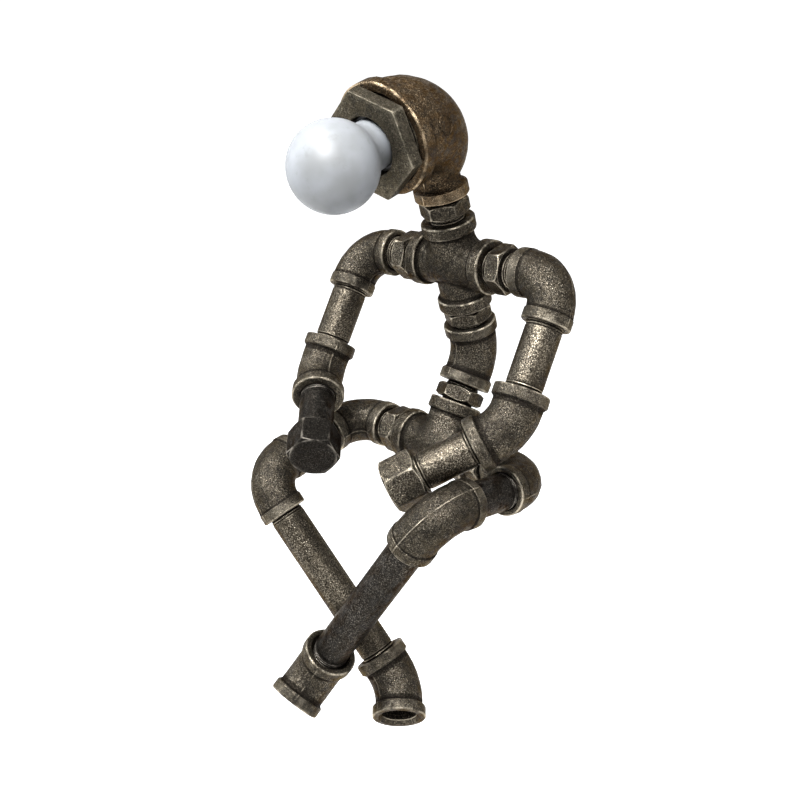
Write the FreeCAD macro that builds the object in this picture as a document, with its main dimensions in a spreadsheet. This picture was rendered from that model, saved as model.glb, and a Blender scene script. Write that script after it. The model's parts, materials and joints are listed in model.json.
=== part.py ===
import FreeCAD, Part
import math
import os
import Sketcher

Vector = FreeCAD.Vector
Rotation = FreeCAD.Rotation
Placement = FreeCAD.Placement

# A seated figure of threaded malleable fittings and pipe, with a frosted bulb for a face.
# +Z is up, the figure faces -Y and its left hand is on +X.
# The origin lies on the seat plane, straight below the centre of the pelvis tee.

SIZES = {
    # pipe and thread
    "pipe_diameter": 21.3,
    "pipe_bore": 16.0,
    "thread_step": 0.35,
    "thread_clearance": 0.05,
    "thread_engagement": 13.0,
    "thread_pitch": 1.814,
    "groove_depth": 0.7,
    "socket_spare": 1.2,
    # 90 degree elbows
    "elbow_wall": 2.9,
    "elbow_bead": 0.75,
    "elbow_reach": 28.0,
    # 45 degree elbows
    "halfbend_wall": 3.7,
    "halfbend_bead": 1.75,
    "halfbend_reach": 22.0,
    "halfbend_run": 12.5,
    # tee and cross
    "tee_wall": 3.3,
    "tee_bead": 2.2,
    "tee_reach": 28.0,
    "tee_crotch": 4.0,
    # what every fitting shares
    "band_width": 7.5,
    "band_round": 1.0,
    "elbow_band_round": 0.6,
    "elbow_bend_in_band": 1.0,
    "mouth_chamfer": 1.0,
    "foot_mouth_chamfer": 2.4,
    "waterway_wall": 2.6,
    # hexagon nipples and caps
    "nipple_flats": 26.0,
    "nipple_bore": 15.0,
    "shoulder_hexagon": 9.5,
    "neck_hexagon": 9.0,
    "upper_spine_hexagon": 8.0,
    "nipple_start_share": 0.35,
    "upper_spine_start_share": 0.6,
    "spine_hexagon": 8.5,
    "hip_hexagon": 9.5,
    "cap_flats": 28.0,
    "cap_length": 19.5,
    "cap_floor": 4.0,
    "hexagon_chamfer": 1.6,
    # bare lengths between the faces of neighbouring fittings
    "neck_gap": 14.5,
    "shoulder_gap": 20.0,
    "upper_spine_gap": 11.0,
    "lower_spine_gap": 12.0,
    "hip_gap": 16.0,
    "upper_arm_left_gap": 38.0,
    "upper_arm_right_gap": 35.0,
    "forearm_gap": 32.5,
    "thigh_gap": 30.0,
    "shin_gap": 102.0,
    # head
    "head_wall": 4.4,
    "head_band_step": 3.5,
    "head_band_width": 10.0,
    "head_band_shoulder": 3.0,
    "head_band_round": 1.2,
    "head_mouth_reach": 37.2,
    "head_mouth_chamfer": 3.0,
    "head_bend_front": 19.0,
    "head_bend_drop": 36.5,
    "head_heel": 50.0,
    "head_neck_reach": 48.5,
    "head_neck_diameter": 25.6,
    # bushing in the mouth of the head
    "bushing_thread_diameter": 48.3,
    "bushing_engagement": 15.0,
    "bushing_bare": 1.6,
    "bushing_hexagon": 8.5,
    "bushing_flats": 54.0,
    "bushing_bore": 33.0,
    # lamp holder
    "holder_recess": 6.0,
    "holder_clearance": 0.25,
    "holder_floor": 4.0,
    "holder_flange": 3.0,
    "holder_flange_gap": 1.7,
    "holder_screw_diameter": 3.0,
    "holder_screw_edge": 3.0,
    "holder_screw_grip": 8.0,
    "screw_hole_spare": 1.0,
    "screw_head_diameter": 5.5,
    "screw_head_height": 2.2,
    "screw_shell_clearance": 0.3,
    "screw_shell_wall": 0.4,
    "screw_shell_foot": 3.0,
    "screw_shell_recess": 1.5,
    "rivet_diameter": 3.0,
    "rivet_tail": 1.5,
    "tongue_width": 7.0,
    "tongue_thickness": 0.5,
    "tongue_height": 2.0,
    # bulb
    "bulb_diameter": 50.0,
    "bulb_centre": 74.6,
    "bulb_neck_diameter": 27.4,
    "bulb_neck_length": 5.0,
    "bulb_shoulder_reach": 57.5,
    "bulb_shoulder_diameter": 36.0,
    "bulb_glass_wall": 1.0,
    "bulb_cap_front": 40.0,
    "glass_seat_depth": 8.0,
    "glass_clearance": 0.1,
    "stem_foot_diameter": 16.0,
    "stem_foot_height": 6.0,
    "stem_diameter": 4.0,
    "filament_ring_diameter": 18.0,
    "filament_thickness": 1.2,
    "cap_diameter": 26.4,
    "cap_thread_depth": 0.9,
    "cap_thread_pitch": 3.63,
    "cap_collar": 4.0,
    "cap_skirt": 22.0,
    "cap_wall": 0.5,
    "cap_insulator_height": 4.0,
    "cap_insulator_diameter": 17.0,
    "cap_button_diameter": 9.0,
    "cap_button_height": 1.4,
    # cable way
    "gland_hole_diameter": 9.0,
    "gland_bore_diameter": 6.4,
    "gland_flange_diameter": 12.5,
    "gland_flange_thickness": 1.6,
    "gland_sleeve": 7.0,
    "gland_boss_diameter": 15.0,
    "gland_boss_height": 1.2,
    # pose, in degrees
    "spine_lean": 31.0,
    "waist_twist": -6.0,
    "chest_twist": 6.0,
    "shoulder_right_swing": 48.0,
    "shoulder_left_swing": 47.5,
    "elbow_right_twist": -60.0,
    "elbow_left_twist": 63.0,
    "hip_right_drop": 10.0,
    "hip_left_drop": -7.6,
    "knee_right_twist": 40.5,
    "knee_left_twist": -31.0,
    "ankle_right_twist": -13.0,
    "ankle_left_twist": -24.0,
    "bushing_turn": 55.0,
    "neck_nipple_turn": 25.0,
    "nipple_turn": 30.0,
    "hand_cap_left_turn": 0.0,
    "hand_cap_right_turn": 30.0,
}

HALF_TURN = math.degrees(math.pi)
QUARTER = HALF_TURN / 2
EIGHTH = HALF_TURN / 4
FULL = HALF_TURN * 2
HALF = 0.5
CORNER_PER_FLATS = 1.0 / math.sqrt(3.0)
SAME_RADIUS = 1e-5
CROTCH_REACH = 2.0
NIPPLE_THREAD_TURNS = 3

doc = FreeCAD.newDocument("pipe_figure_lamp")
sheet = doc.addObject("Spreadsheet::Sheet", "Sizes")
for row, (alias, number) in enumerate(SIZES.items(), start=1):
    sheet.set("A%d" % row, alias)
    sheet.set("B%d" % row, str(number))
    sheet.setAlias("B%d" % row, alias)
doc.recompute()


class Size:
    """A length that knows its number and the expression that gives it from the sheet."""

    def __init__(self, number, text):
        self.number = number
        self.text = text

    def join(self, other, sign):
        if not isinstance(other, Size):
            other = Size(float(other), repr(float(other)))
        numbers = {
            "+": self.number + other.number,
            "-": self.number - other.number,
            "*": self.number * other.number,
        }
        return Size(numbers[sign], "(%s %s %s)" % (self.text, sign, other.text))

    def __add__(self, other):
        return self.join(other, "+")

    def __sub__(self, other):
        return self.join(other, "-")

    def __mul__(self, other):
        return self.join(other, "*")


def size(alias):
    return Size(float(sheet.get(alias)), "Sizes." + alias)


def angle(alias):
    return float(sheet.get(alias))


ZERO = Size(0.0, "0")

# radii that several pieces share
PIPE_R = size("pipe_diameter") * HALF
BORE_R = size("pipe_bore") * HALF
THREAD_R = PIPE_R - size("thread_step")
SOCKET_R = THREAD_R + size("thread_clearance")
WATER_R = SOCKET_R - size("waterway_wall")
ENGAGED = size("thread_engagement")
SOCKET_DEPTH = ENGAGED + size("socket_spare")
NIPPLE_BORE_R = size("nipple_bore") * HALF

ELBOW_R = PIPE_R + size("elbow_wall")
ELBOW_BAND_R = ELBOW_R + size("elbow_bead")
HALFBEND_R = PIPE_R + size("halfbend_wall")
HALFBEND_BAND_R = HALFBEND_R + size("halfbend_bead")
TEE_R = PIPE_R + size("tee_wall")
TEE_BAND_R = TEE_R + size("tee_bead")
GLAND_HOLE_R = size("gland_hole_diameter") * HALF
GLAND_SEAT = TEE_R + size("gland_boss_height")

BUSHING_THREAD_R = size("bushing_thread_diameter") * HALF
HEAD_SOCKET_R = BUSHING_THREAD_R + size("thread_clearance")
HEAD_R = HEAD_SOCKET_R + size("head_wall")
HEAD_BAND_R = HEAD_R + size("head_band_step")
HEAD_CAVITY_R = HEAD_SOCKET_R


def origin_plane(body, role):
    for feature in body.Origin.OriginFeatures:
        if feature.Role == role:
            return feature
    raise RuntimeError("no plane " + role)


def new_body(label):
    body = doc.addObject("PartDesign::Body", label)
    body.Label = label
    return body


def new_sketch(body, name, role="XY_Plane", turn=0.0, lift=None):
    """A sketch on one of the body's own planes, turned about or lifted along its normal."""
    sketch = body.newObject("Sketcher::SketchObject", name)
    sketch.AttachmentSupport = [(origin_plane(body, role), "")]
    sketch.MapMode = "FlatFace"
    sketch.AttachmentOffset = Placement(Vector(0, 0, 0), Rotation(Vector(0, 0, 1), turn))
    if lift is not None:
        sketch.setExpression(".AttachmentOffset.Base.z", lift.text)
    return sketch


def pin_point(sketch, edge, spot, x, y, tag):
    """Holds one point of the sketch at sheet values measured from its origin."""
    for kind, value, axis_line, letter in (("DistanceX", x, -2, "x"), ("DistanceY", y, -1, "y")):
        if value is ZERO:
            sketch.addConstraint(Sketcher.Constraint("PointOnObject", edge, spot, axis_line))
            continue
        held = Sketcher.Constraint(kind, -1, 1, edge, spot, value.number)
        index = sketch.addConstraint(held)
        name = "%s%s" % (letter, tag)
        sketch.renameConstraint(index, name)
        sketch.setExpression("Constraints." + name, value.text)


def polygon(sketch, points):
    """A closed outline of straight edges through points given as pairs of sizes."""
    count = len(points)
    for i in range(count):
        x1, y1 = points[i]
        x2, y2 = points[(i + 1) % count]
        start = Vector(x1.number, y1.number, 0)
        end = Vector(x2.number, y2.number, 0)
        sketch.addGeometry(Part.LineSegment(start, end), False)
    for i in range(count):
        sketch.addConstraint(Sketcher.Constraint("Coincident", i, 2, (i + 1) % count, 1))
    for i, (x, y) in enumerate(points):
        pin_point(sketch, i, 1, x, y, str(i))


def turned(body, name, points, cut=False, turn=0.0):
    """A solid of revolution about the sketch's X axis, added to the body or cut from it."""
    sketch = new_sketch(body, name + "_outline", turn=turn)
    polygon(sketch, points)
    kind = "PartDesign::Groove" if cut else "PartDesign::Revolution"
    feature = body.newObject(kind, name)
    feature.Profile = sketch
    feature.ReferenceAxis = (sketch, ["H_Axis"])
    feature.Angle = FULL
    sketch.Visibility = False
    return feature


def bend(body, name, radius, start, rise, sweep, cut=False):
    """A ring segment: a disc square to X at minus start, swept about a line that lies rise away."""
    sketch = new_sketch(body, name + "_outline", role="YZ_Plane", lift=start * -1.0)
    sketch.addGeometry(Part.Circle(Vector(0, 0, 0), Vector(0, 0, 1), radius.number), False)
    sketch.addConstraint(Sketcher.Constraint("Coincident", 0, 3, -1, 1))
    index = sketch.addConstraint(Sketcher.Constraint("Radius", 0, radius.number))
    sketch.renameConstraint(index, "radius")
    sketch.setExpression("Constraints.radius", radius.text)
    low = Vector(rise.number, -radius.number, 0)
    high = Vector(rise.number, radius.number, 0)
    sketch.addGeometry(Part.LineSegment(low, high), True)
    sketch.addConstraint(Sketcher.Constraint("Vertical", 1))
    index = sketch.addConstraint(Sketcher.Constraint("DistanceX", -1, 1, 1, 1, rise.number))
    sketch.renameConstraint(index, "rise")
    sketch.setExpression("Constraints.rise", rise.text)
    kind = "PartDesign::Groove" if cut else "PartDesign::Revolution"
    feature = body.newObject(kind, name)
    feature.Profile = sketch
    feature.ReferenceAxis = (sketch, ["Axis0"])
    feature.Angle = sweep
    feature.Reversed = False
    sketch.Visibility = False
    return feature


def hexagon(body, name, flats, start, length, turn=0.0):
    """A hexagonal prism along X with its end corners turned off."""
    corner = flats * CORNER_PER_FLATS
    sketch = new_sketch(body, name + "_outline", role="YZ_Plane", turn=turn, lift=start)
    spots = []
    for i in range(6):
        a = math.radians(60 * i)
        spots.append(Vector(corner.number * math.cos(a), corner.number * math.sin(a), 0))
    for i in range(6):
        sketch.addGeometry(Part.LineSegment(spots[i], spots[(i + 1) % 6]), False)
    sketch.addGeometry(Part.Circle(Vector(0, 0, 0), Vector(0, 0, 1), corner.number), True)
    for i in range(6):
        sketch.addConstraint(Sketcher.Constraint("Coincident", i, 2, (i + 1) % 6, 1))
        sketch.addConstraint(Sketcher.Constraint("PointOnObject", i, 1, 6))
    for i in range(1, 6):
        sketch.addConstraint(Sketcher.Constraint("Equal", 0, i))
    sketch.addConstraint(Sketcher.Constraint("Coincident", 6, 3, -1, 1))
    sketch.addConstraint(Sketcher.Constraint("PointOnObject", 0, 1, -1))
    index = sketch.addConstraint(Sketcher.Constraint("Radius", 6, corner.number))
    sketch.renameConstraint(index, "corner")
    sketch.setExpression("Constraints.corner", corner.text)
    pad = body.newObject("PartDesign::Pad", name)
    pad.Profile = sketch
    pad.setExpression("Length", length.text)
    sketch.Visibility = False
    chamfer = size("hexagon_chamfer")
    inner = flats * HALF
    outer = corner + chamfer
    turned(body, name + "_first_chamfer", [(start, inner), (start + chamfer, outer), (start, outer)], cut=True)
    end = start + length
    turned(body, name + "_last_chamfer", [(end, inner), (end, outer), (end - chamfer, outer)], cut=True)
    return pad


def round_rims(body, name, radii, rounding):
    """Rounds every circular edge of the body that has one of the given radii."""
    doc.recompute()
    base = body.Tip
    edges = []
    for i, edge in enumerate(base.Shape.Edges, start=1):
        if edge.Degenerated or not isinstance(edge.Curve, Part.Circle):
            continue
        if any(abs(edge.Curve.Radius - radius.number) < SAME_RADIUS for radius in radii):
            edges.append("Edge%d" % i)
    fillet = body.newObject("PartDesign::Fillet", name)
    fillet.Base = (base, edges)
    fillet.setExpression("Radius", rounding.text)
    return fillet


def arm_outside(start, reach, body_r, band_r):
    band_start = reach - size("band_width")
    return [(start, ZERO), (start, body_r), (band_start, body_r), (band_start, band_r), (reach, band_r), (reach, ZERO)]


def arm_inside(reach, chamfer, waterway_start=None):
    """The threaded socket with its chamfered mouth, and behind it the waterway from the given start."""
    bottom = reach - SOCKET_DEPTH
    outline = [(bottom, ZERO)]
    if waterway_start is not None:
        outline = [(waterway_start, ZERO), (waterway_start, WATER_R), (bottom, WATER_R)]
    outline += [
        (bottom, SOCKET_R),
        (reach - chamfer, SOCKET_R),
        (reach, SOCKET_R + chamfer),
        (reach, ZERO),
    ]
    return outline


def elbow(label, sweep, run, reach, body_r, band_r, end_chamfer=None):
    """A banded elbow: one socket faces -X and the other is turned by the sweep towards +Y."""
    body = new_body(label)
    rise = run * (1.0 / math.tan(math.radians(sweep) * HALF))
    bend(body, "bend", body_r, run, rise, sweep)
    chamfer = size("mouth_chamfer")
    turned(body, "inlet", arm_outside(run, reach, body_r, band_r), turn=HALF_TURN)
    turned(body, "outlet", arm_outside(run, reach, body_r, band_r), turn=sweep)
    bend(body, "waterway", WATER_R, run, rise, sweep, cut=True)
    turned(body, "inlet_socket", arm_inside(reach, chamfer), cut=True, turn=HALF_TURN)
    turned(body, "outlet_socket", arm_inside(reach, end_chamfer or chamfer), cut=True, turn=sweep)
    round_rims(body, "band_rims", [band_r], size("elbow_band_round"))
    return body


def right_elbow(label):
    run = size("elbow_reach") - size("band_width") + size("elbow_bend_in_band")
    return elbow(label, QUARTER, run, size("elbow_reach"), ELBOW_R, ELBOW_BAND_R)


def half_elbow(label, end_chamfer=None):
    reach = size("halfbend_reach")
    return elbow(label, EIGHTH, size("halfbend_run"), reach, HALFBEND_R, HALFBEND_BAND_R, end_chamfer)


def round_sketch(body, name, radius):
    """A circle about the origin of the body's XY plane."""
    sketch = new_sketch(body, name)
    sketch.addGeometry(Part.Circle(Vector(0, 0, 0), Vector(0, 0, 1), radius.number), False)
    sketch.addConstraint(Sketcher.Constraint("Coincident", 0, 3, -1, 1))
    index = sketch.addConstraint(Sketcher.Constraint("Radius", 0, radius.number))
    sketch.renameConstraint(index, "radius")
    sketch.setExpression("Constraints.radius", radius.text)
    sketch.Visibility = False
    return sketch


def branch_fitting(label, turns, gland=False):
    """A tee or cross with one socket at each of the given turns from +X.

    With a gland, its -Z side has a flat boss with a hole through the wall.
    """
    body = new_body(label)
    reach = size("tee_reach")
    for i, turn in enumerate(turns):
        turned(body, "arm%d" % i, arm_outside(ZERO, reach, TEE_R, TEE_BAND_R), turn=turn)
    doc.recompute()
    arms = body.Tip
    crotch = []
    for i, edge in enumerate(arms.Shape.Edges, start=1):
        middle = edge.valueAt((edge.FirstParameter + edge.LastParameter) * HALF)
        if not isinstance(edge.Curve, (Part.Circle, Part.Line)) and middle.Length < TEE_R.number * CROTCH_REACH:
            crotch.append("Edge%d" % i)
    if crotch:
        fillet = body.newObject("PartDesign::Fillet", "crotch")
        fillet.Base = (arms, crotch)
        fillet.setExpression("Radius", "Sizes.tee_crotch")
    if gland:
        boss = body.newObject("PartDesign::Pad", "gland_boss")
        boss.Profile = round_sketch(body, "gland_boss_outline", size("gland_boss_diameter") * HALF)
        boss.setExpression("Length", GLAND_SEAT.text)
        boss.Reversed = True
    for i, turn in enumerate(turns):
        turned(body, "socket%d" % i, arm_inside(reach, size("mouth_chamfer"), ZERO), cut=True, turn=turn)
    if gland:
        hole = body.newObject("PartDesign::Pocket", "gland_hole")
        hole.Profile = round_sketch(body, "gland_hole_outline", GLAND_HOLE_R)
        hole.setExpression("Length", GLAND_SEAT.text)
        hole.Reversed = False
    round_rims(body, "band_rims", [TEE_BAND_R], size("band_round"))
    return body


def grooved_wall(start, turns, crest):
    """Points of a thread's crests and roots along X, from start onwards."""
    pitch = size("thread_pitch")
    points = []
    for i in range(turns):
        x = start + pitch * i
        points.append((x, crest))
        points.append((x + pitch * HALF, crest - size("groove_depth")))
    points.append((start + pitch * turns, crest))
    return points


def pipe(label, gap, turns_first=1, turns_last=2):
    """A length of pipe with both ends threaded; its first end face lies at X = 0."""
    body = new_body(label)
    length = gap + ENGAGED * 2.0
    last_run = size("thread_pitch") * turns_last
    points = [(ZERO, BORE_R), (ZERO, THREAD_R)]
    points += grooved_wall(ENGAGED, turns_first, THREAD_R)
    points += [(ENGAGED + size("thread_pitch") * turns_first, PIPE_R)]
    points += [(ENGAGED + gap - last_run, PIPE_R)]
    points += grooved_wall(ENGAGED + gap - last_run, turns_last, THREAD_R)
    points += [(length, THREAD_R), (length, BORE_R)]
    turned(body, "wall", points)
    return body


def hexagon_nipple(label, gap, hexagon_length, turn="nipple_turn", share="nipple_start_share"):
    """A hexagon between two threaded ends; the last end has what is left of the bare thread.

    The share is how much of the gap that the hexagon leaves free lies before it.
    """
    body = new_body(label)
    length = gap + ENGAGED * 2.0
    points = [(ZERO, NIPPLE_BORE_R), (ZERO, THREAD_R)]
    run = size("thread_pitch") * NIPPLE_THREAD_TURNS
    if gap.number - hexagon_length.number > run.number:
        points += grooved_wall(ENGAGED + gap - run, NIPPLE_THREAD_TURNS, THREAD_R)
    points += [(length, THREAD_R), (length, NIPPLE_BORE_R)]
    turned(body, "stem", points)
    start = ENGAGED + (gap - hexagon_length) * size(share)
    hexagon(body, "hexagon", size("nipple_flats"), start, hexagon_length, turn=angle(turn))
    turned(body, "bore", [(ZERO, ZERO), (ZERO, NIPPLE_BORE_R), (length, NIPPLE_BORE_R), (length, ZERO)], cut=True)
    return body


def hexagon_cap(label):
    """A hexagonal cap: its socket opens at X = 0 and its far end is closed."""
    body = new_body(label)
    length = size("cap_length")
    hexagon(body, "hexagon", size("cap_flats"), ZERO, length, turn=angle(label + "_turn"))
    chamfer = size("mouth_chamfer")
    depth = length - size("cap_floor")
    points = [(ZERO, ZERO), (ZERO, SOCKET_R + chamfer), (chamfer, SOCKET_R), (depth, SOCKET_R), (depth, ZERO)]
    turned(body, "socket", points, cut=True)
    return body


def swept_bend(body, name, pivot_x, pivot_y, sections, cut=False):
    """A bend that narrows as it turns, lofted through round sections that all lie on lines from one pivot.

    A section is its turn about the pivot and its distances from there to the outside and the inside of the bend.
    """
    sketches = []
    for i, (turn, heel, toe) in enumerate(sections):
        middle = (heel + toe) * HALF
        radius = (heel - toe) * HALF
        sketch = new_sketch(body, "%s_section%d" % (name, i), role="YZ_Plane")
        sketch.AttachmentOffset = Placement(Vector(0, 0, 0), Rotation(Vector(0, 1, 0), turn))
        along_y = pivot_y + middle * math.cos(math.radians(turn))
        along_x = pivot_x - middle * math.sin(math.radians(turn))
        sketch.setExpression(".AttachmentOffset.Base.x", along_y.text)
        sketch.setExpression(".AttachmentOffset.Base.z", along_x.text)
        sketch.addGeometry(Part.Circle(Vector(0, 0, 0), Vector(0, 0, 1), radius.number), False)
        sketch.addConstraint(Sketcher.Constraint("Coincident", 0, 3, -1, 1))
        index = sketch.addConstraint(Sketcher.Constraint("Radius", 0, radius.number))
        sketch.renameConstraint(index, "radius")
        sketch.setExpression("Constraints.radius", radius.text)
        sketch.Visibility = False
        sketches.append(sketch)
    loft = body.newObject("PartDesign::SubtractiveLoft" if cut else "PartDesign::AdditiveLoft", name)
    loft.Profile = sketches[0]
    loft.Sections = sketches[1:]
    return loft


def head_sections(barrel_r, neck_r, wall):
    """The sections of the head's bend, all drawn in by the wall thickness."""
    front = size("head_bend_front")
    drop = size("head_bend_drop")
    first_toe = drop - barrel_r
    last_toe = front - neck_r
    middle_toe = (first_toe + last_toe) * HALF + wall
    return [
        (0.0, drop + barrel_r, first_toe),
        (EIGHTH, size("head_heel") - wall, middle_toe),
        (QUARTER, front + neck_r, last_toe),
    ]


def head_elbow(label):
    """A large reducing elbow: its wide mouth faces +X and its small threaded neck faces -Y."""
    body = new_body(label)
    front = size("head_bend_front")
    drop = size("head_bend_drop")
    mouth = size("head_mouth_reach")
    band_start = mouth - size("head_band_width")
    barrel = [
        (front, ZERO),
        (front, HEAD_R),
        (band_start - size("head_band_shoulder"), HEAD_R),
        (band_start, HEAD_BAND_R),
        (mouth, HEAD_BAND_R),
        (mouth, ZERO),
    ]
    turned(body, "barrel", barrel)
    neck_r = size("head_neck_diameter") * HALF
    swept_bend(body, "heel", front, drop * -1.0, head_sections(HEAD_R, neck_r, ZERO))
    reach = size("head_neck_reach")
    collar = reach - size("band_width")
    neck = [
        (drop, ZERO),
        (drop, neck_r),
        (collar, neck_r),
        (collar, TEE_BAND_R),
        (reach, TEE_BAND_R),
        (reach, ZERO),
    ]
    turned(body, "neck", neck, turn=-QUARTER)
    swept_bend(body, "hollow", front, drop * -1.0, head_sections(HEAD_CAVITY_R, WATER_R, size("head_wall")), cut=True)
    chamfer = size("head_mouth_chamfer")
    barrel_hollow = [
        (front, ZERO),
        (front, HEAD_CAVITY_R),
        (mouth - chamfer, HEAD_CAVITY_R),
        (mouth, HEAD_CAVITY_R + chamfer),
        (mouth, ZERO),
    ]
    turned(body, "barrel_hollow", barrel_hollow, cut=True)
    neck_waterway = [(drop, ZERO), (drop, WATER_R), (reach, WATER_R), (reach, ZERO)]
    turned(body, "neck_waterway", neck_waterway, cut=True, turn=-QUARTER)
    neck_hollow = arm_inside(reach, size("mouth_chamfer"))
    turned(body, "neck_socket", neck_hollow, cut=True, turn=-QUARTER)
    round_rims(body, "mouth_rims", [HEAD_BAND_R], size("head_band_round"))
    round_rims(body, "neck_rims", [TEE_BAND_R], size("band_round"))
    return body


def place_sphere(body, sphere, radius, offset):
    sphere.AttachmentSupport = [(origin_plane(body, "XY_Plane"), "")]
    sphere.MapMode = "FlatFace"
    sphere.setExpression(".AttachmentOffset.Base.x", offset.text)
    sphere.setExpression("Radius", radius.text)


# places along the axis of the head's mouth, measured from the centre of the head elbow
BUSHING_BACK = size("head_mouth_reach") - size("bushing_engagement")
HEXAGON_BACK = size("head_mouth_reach") + size("bushing_bare")
HEXAGON_FRONT = HEXAGON_BACK + size("bushing_hexagon")
BUSHING_BORE_R = size("bushing_bore") * HALF
HOLDER_R = BUSHING_BORE_R - size("holder_clearance")
HOLDER_FRONT = HEXAGON_FRONT - size("holder_recess")
CAP_R = size("cap_diameter") * HALF
CAP_FRONT = size("bulb_cap_front")
CAP_BACK = CAP_FRONT - size("cap_skirt")
INSULATOR_BACK = CAP_BACK - size("cap_insulator_height")
BUTTON_BACK = INSULATOR_BACK - size("cap_button_height")
SHELL_R = CAP_R + size("screw_shell_clearance")
SHELL_OUTER_R = SHELL_R + size("screw_shell_wall")
HOLDER_WELL_R = SHELL_OUTER_R + size("holder_clearance") * HALF
HOLDER_WELL_BACK = BUTTON_BACK - size("tongue_height")
HOLDER_BACK = HOLDER_WELL_BACK - size("holder_floor")
RIVET_R = size("rivet_diameter") * HALF
SCREW_R = size("holder_screw_diameter") * HALF
HOLDER_FLANGE_R = HEAD_CAVITY_R - size("holder_flange_gap")
SCREW_CIRCLE_R = HOLDER_FLANGE_R - size("holder_screw_edge")


def pair_of_holes(body, name, radius, start, end):
    """Two round holes along X, one above the axis and one below it."""
    for side in (1.0, -1.0):
        tag = name + ("_upper" if side > 0 else "_lower")
        sketch = new_sketch(body, tag + "_outline", role="YZ_Plane", lift=start)
        centre = Vector(SCREW_CIRCLE_R.number * side, 0, 0)
        sketch.addGeometry(Part.Circle(centre, Vector(0, 0, 1), radius.number), False)
        pin_point(sketch, 0, 3, SCREW_CIRCLE_R * side, ZERO, "centre")
        index = sketch.addConstraint(Sketcher.Constraint("Radius", 0, radius.number))
        sketch.renameConstraint(index, "radius")
        sketch.setExpression("Constraints.radius", radius.text)
        pocket = body.newObject("PartDesign::Pocket", tag)
        pocket.Profile = sketch
        pocket.Reversed = True
        length = end - start
        pocket.setExpression("Length", length.text)
        sketch.Visibility = False


def head_bushing(label):
    """A hexagon bushing screwed into the mouth, with a plain bore for the lamp holder."""
    body = new_body(label)
    mouth = size("head_mouth_reach")
    stem = [
        (BUSHING_BACK, ZERO),
        (BUSHING_BACK, BUSHING_THREAD_R),
        (mouth, BUSHING_THREAD_R),
        (HEXAGON_BACK, BUSHING_THREAD_R - size("groove_depth")),
        (HEXAGON_BACK, ZERO),
    ]
    turned(body, "stem", stem)
    hexagon(body, "hexagon", size("bushing_flats"), HEXAGON_BACK, size("bushing_hexagon"), turn=angle("bushing_turn"))
    chamfer = size("mouth_chamfer")
    bore = [
        (BUSHING_BACK, ZERO),
        (BUSHING_BACK, BUSHING_BORE_R),
        (HEXAGON_FRONT - chamfer, BUSHING_BORE_R),
        (HEXAGON_FRONT, BUSHING_BORE_R + chamfer),
        (HEXAGON_FRONT, ZERO),
    ]
    turned(body, "bore", bore, cut=True)
    hole_end = BUSHING_BACK + size("holder_screw_grip") + size("screw_hole_spare")
    pair_of_holes(body, "tapped_hole", SCREW_R + size("thread_clearance"), BUSHING_BACK, hole_end)
    return body


def holder_body(label):
    """The insulating lamp holder: a deep well with a flange that seats on the bushing's inner end."""
    body = new_body(label)
    flange_back = BUSHING_BACK - size("holder_flange")
    outside = [
        (HOLDER_BACK, ZERO),
        (HOLDER_BACK, HOLDER_R),
        (flange_back, HOLDER_R),
        (flange_back, HOLDER_FLANGE_R),
        (BUSHING_BACK, HOLDER_FLANGE_R),
        (BUSHING_BACK, HOLDER_R),
        (HOLDER_FRONT, HOLDER_R),
        (HOLDER_FRONT, ZERO),
    ]
    turned(body, "outside", outside)
    well = [
        (HOLDER_WELL_BACK, ZERO),
        (HOLDER_WELL_BACK, HOLDER_WELL_R),
        (HOLDER_FRONT, HOLDER_WELL_R),
        (HOLDER_FRONT, ZERO),
    ]
    turned(body, "well", well, cut=True)
    rivet_hole_r = RIVET_R + size("thread_clearance")
    rivet_hole = [
        (HOLDER_BACK, ZERO),
        (HOLDER_BACK, rivet_hole_r),
        (HOLDER_WELL_BACK, rivet_hole_r),
        (HOLDER_WELL_BACK, ZERO),
    ]
    turned(body, "rivet_hole", rivet_hole, cut=True)
    pair_of_holes(body, "screw_hole", SCREW_R + size("holder_clearance"), flange_back, BUSHING_BACK)
    return body


def holder_screw_shell(label):
    """The sheet brass shell that takes the bulb's thread; its rolled foot lies on the well's floor."""
    body = new_body(label)
    foot_end = HOLDER_WELL_BACK + size("screw_shell_wall")
    foot_r = SHELL_R - size("screw_shell_foot")
    front = HOLDER_FRONT - size("screw_shell_recess")
    wall = [
        (HOLDER_WELL_BACK, foot_r),
        (HOLDER_WELL_BACK, SHELL_OUTER_R),
        (front, SHELL_OUTER_R),
        (front, SHELL_R),
        (foot_end, SHELL_R),
        (foot_end, foot_r),
    ]
    turned(body, "wall", wall)
    return body


def rectangle_pad(body, name, start, length, half_width, half_height):
    sketch = new_sketch(body, name + "_outline", role="YZ_Plane", lift=start)
    low_y = half_width * -1.0
    low_z = half_height * -1.0
    polygon(sketch, [(low_y, low_z), (half_width, low_z), (half_width, half_height), (low_y, half_height)])
    pad = body.newObject("PartDesign::Pad", name)
    pad.Profile = sketch
    pad.setExpression("Length", length.text)
    sketch.Visibility = False


def holder_contact(label):
    """The centre contact: a sprung tongue on a rivet, reaching the bulb's button."""
    body = new_body(label)
    tongue_start = BUTTON_BACK - size("tongue_thickness")
    tail = HOLDER_BACK - size("rivet_tail")
    rivet = [(tail, ZERO), (tail, RIVET_R), (tongue_start, RIVET_R), (tongue_start, ZERO)]
    turned(body, "rivet", rivet)
    half_width = size("tongue_width") * HALF
    rectangle_pad(body, "tongue", tongue_start, size("tongue_thickness"), half_width, half_width)
    return body


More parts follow.
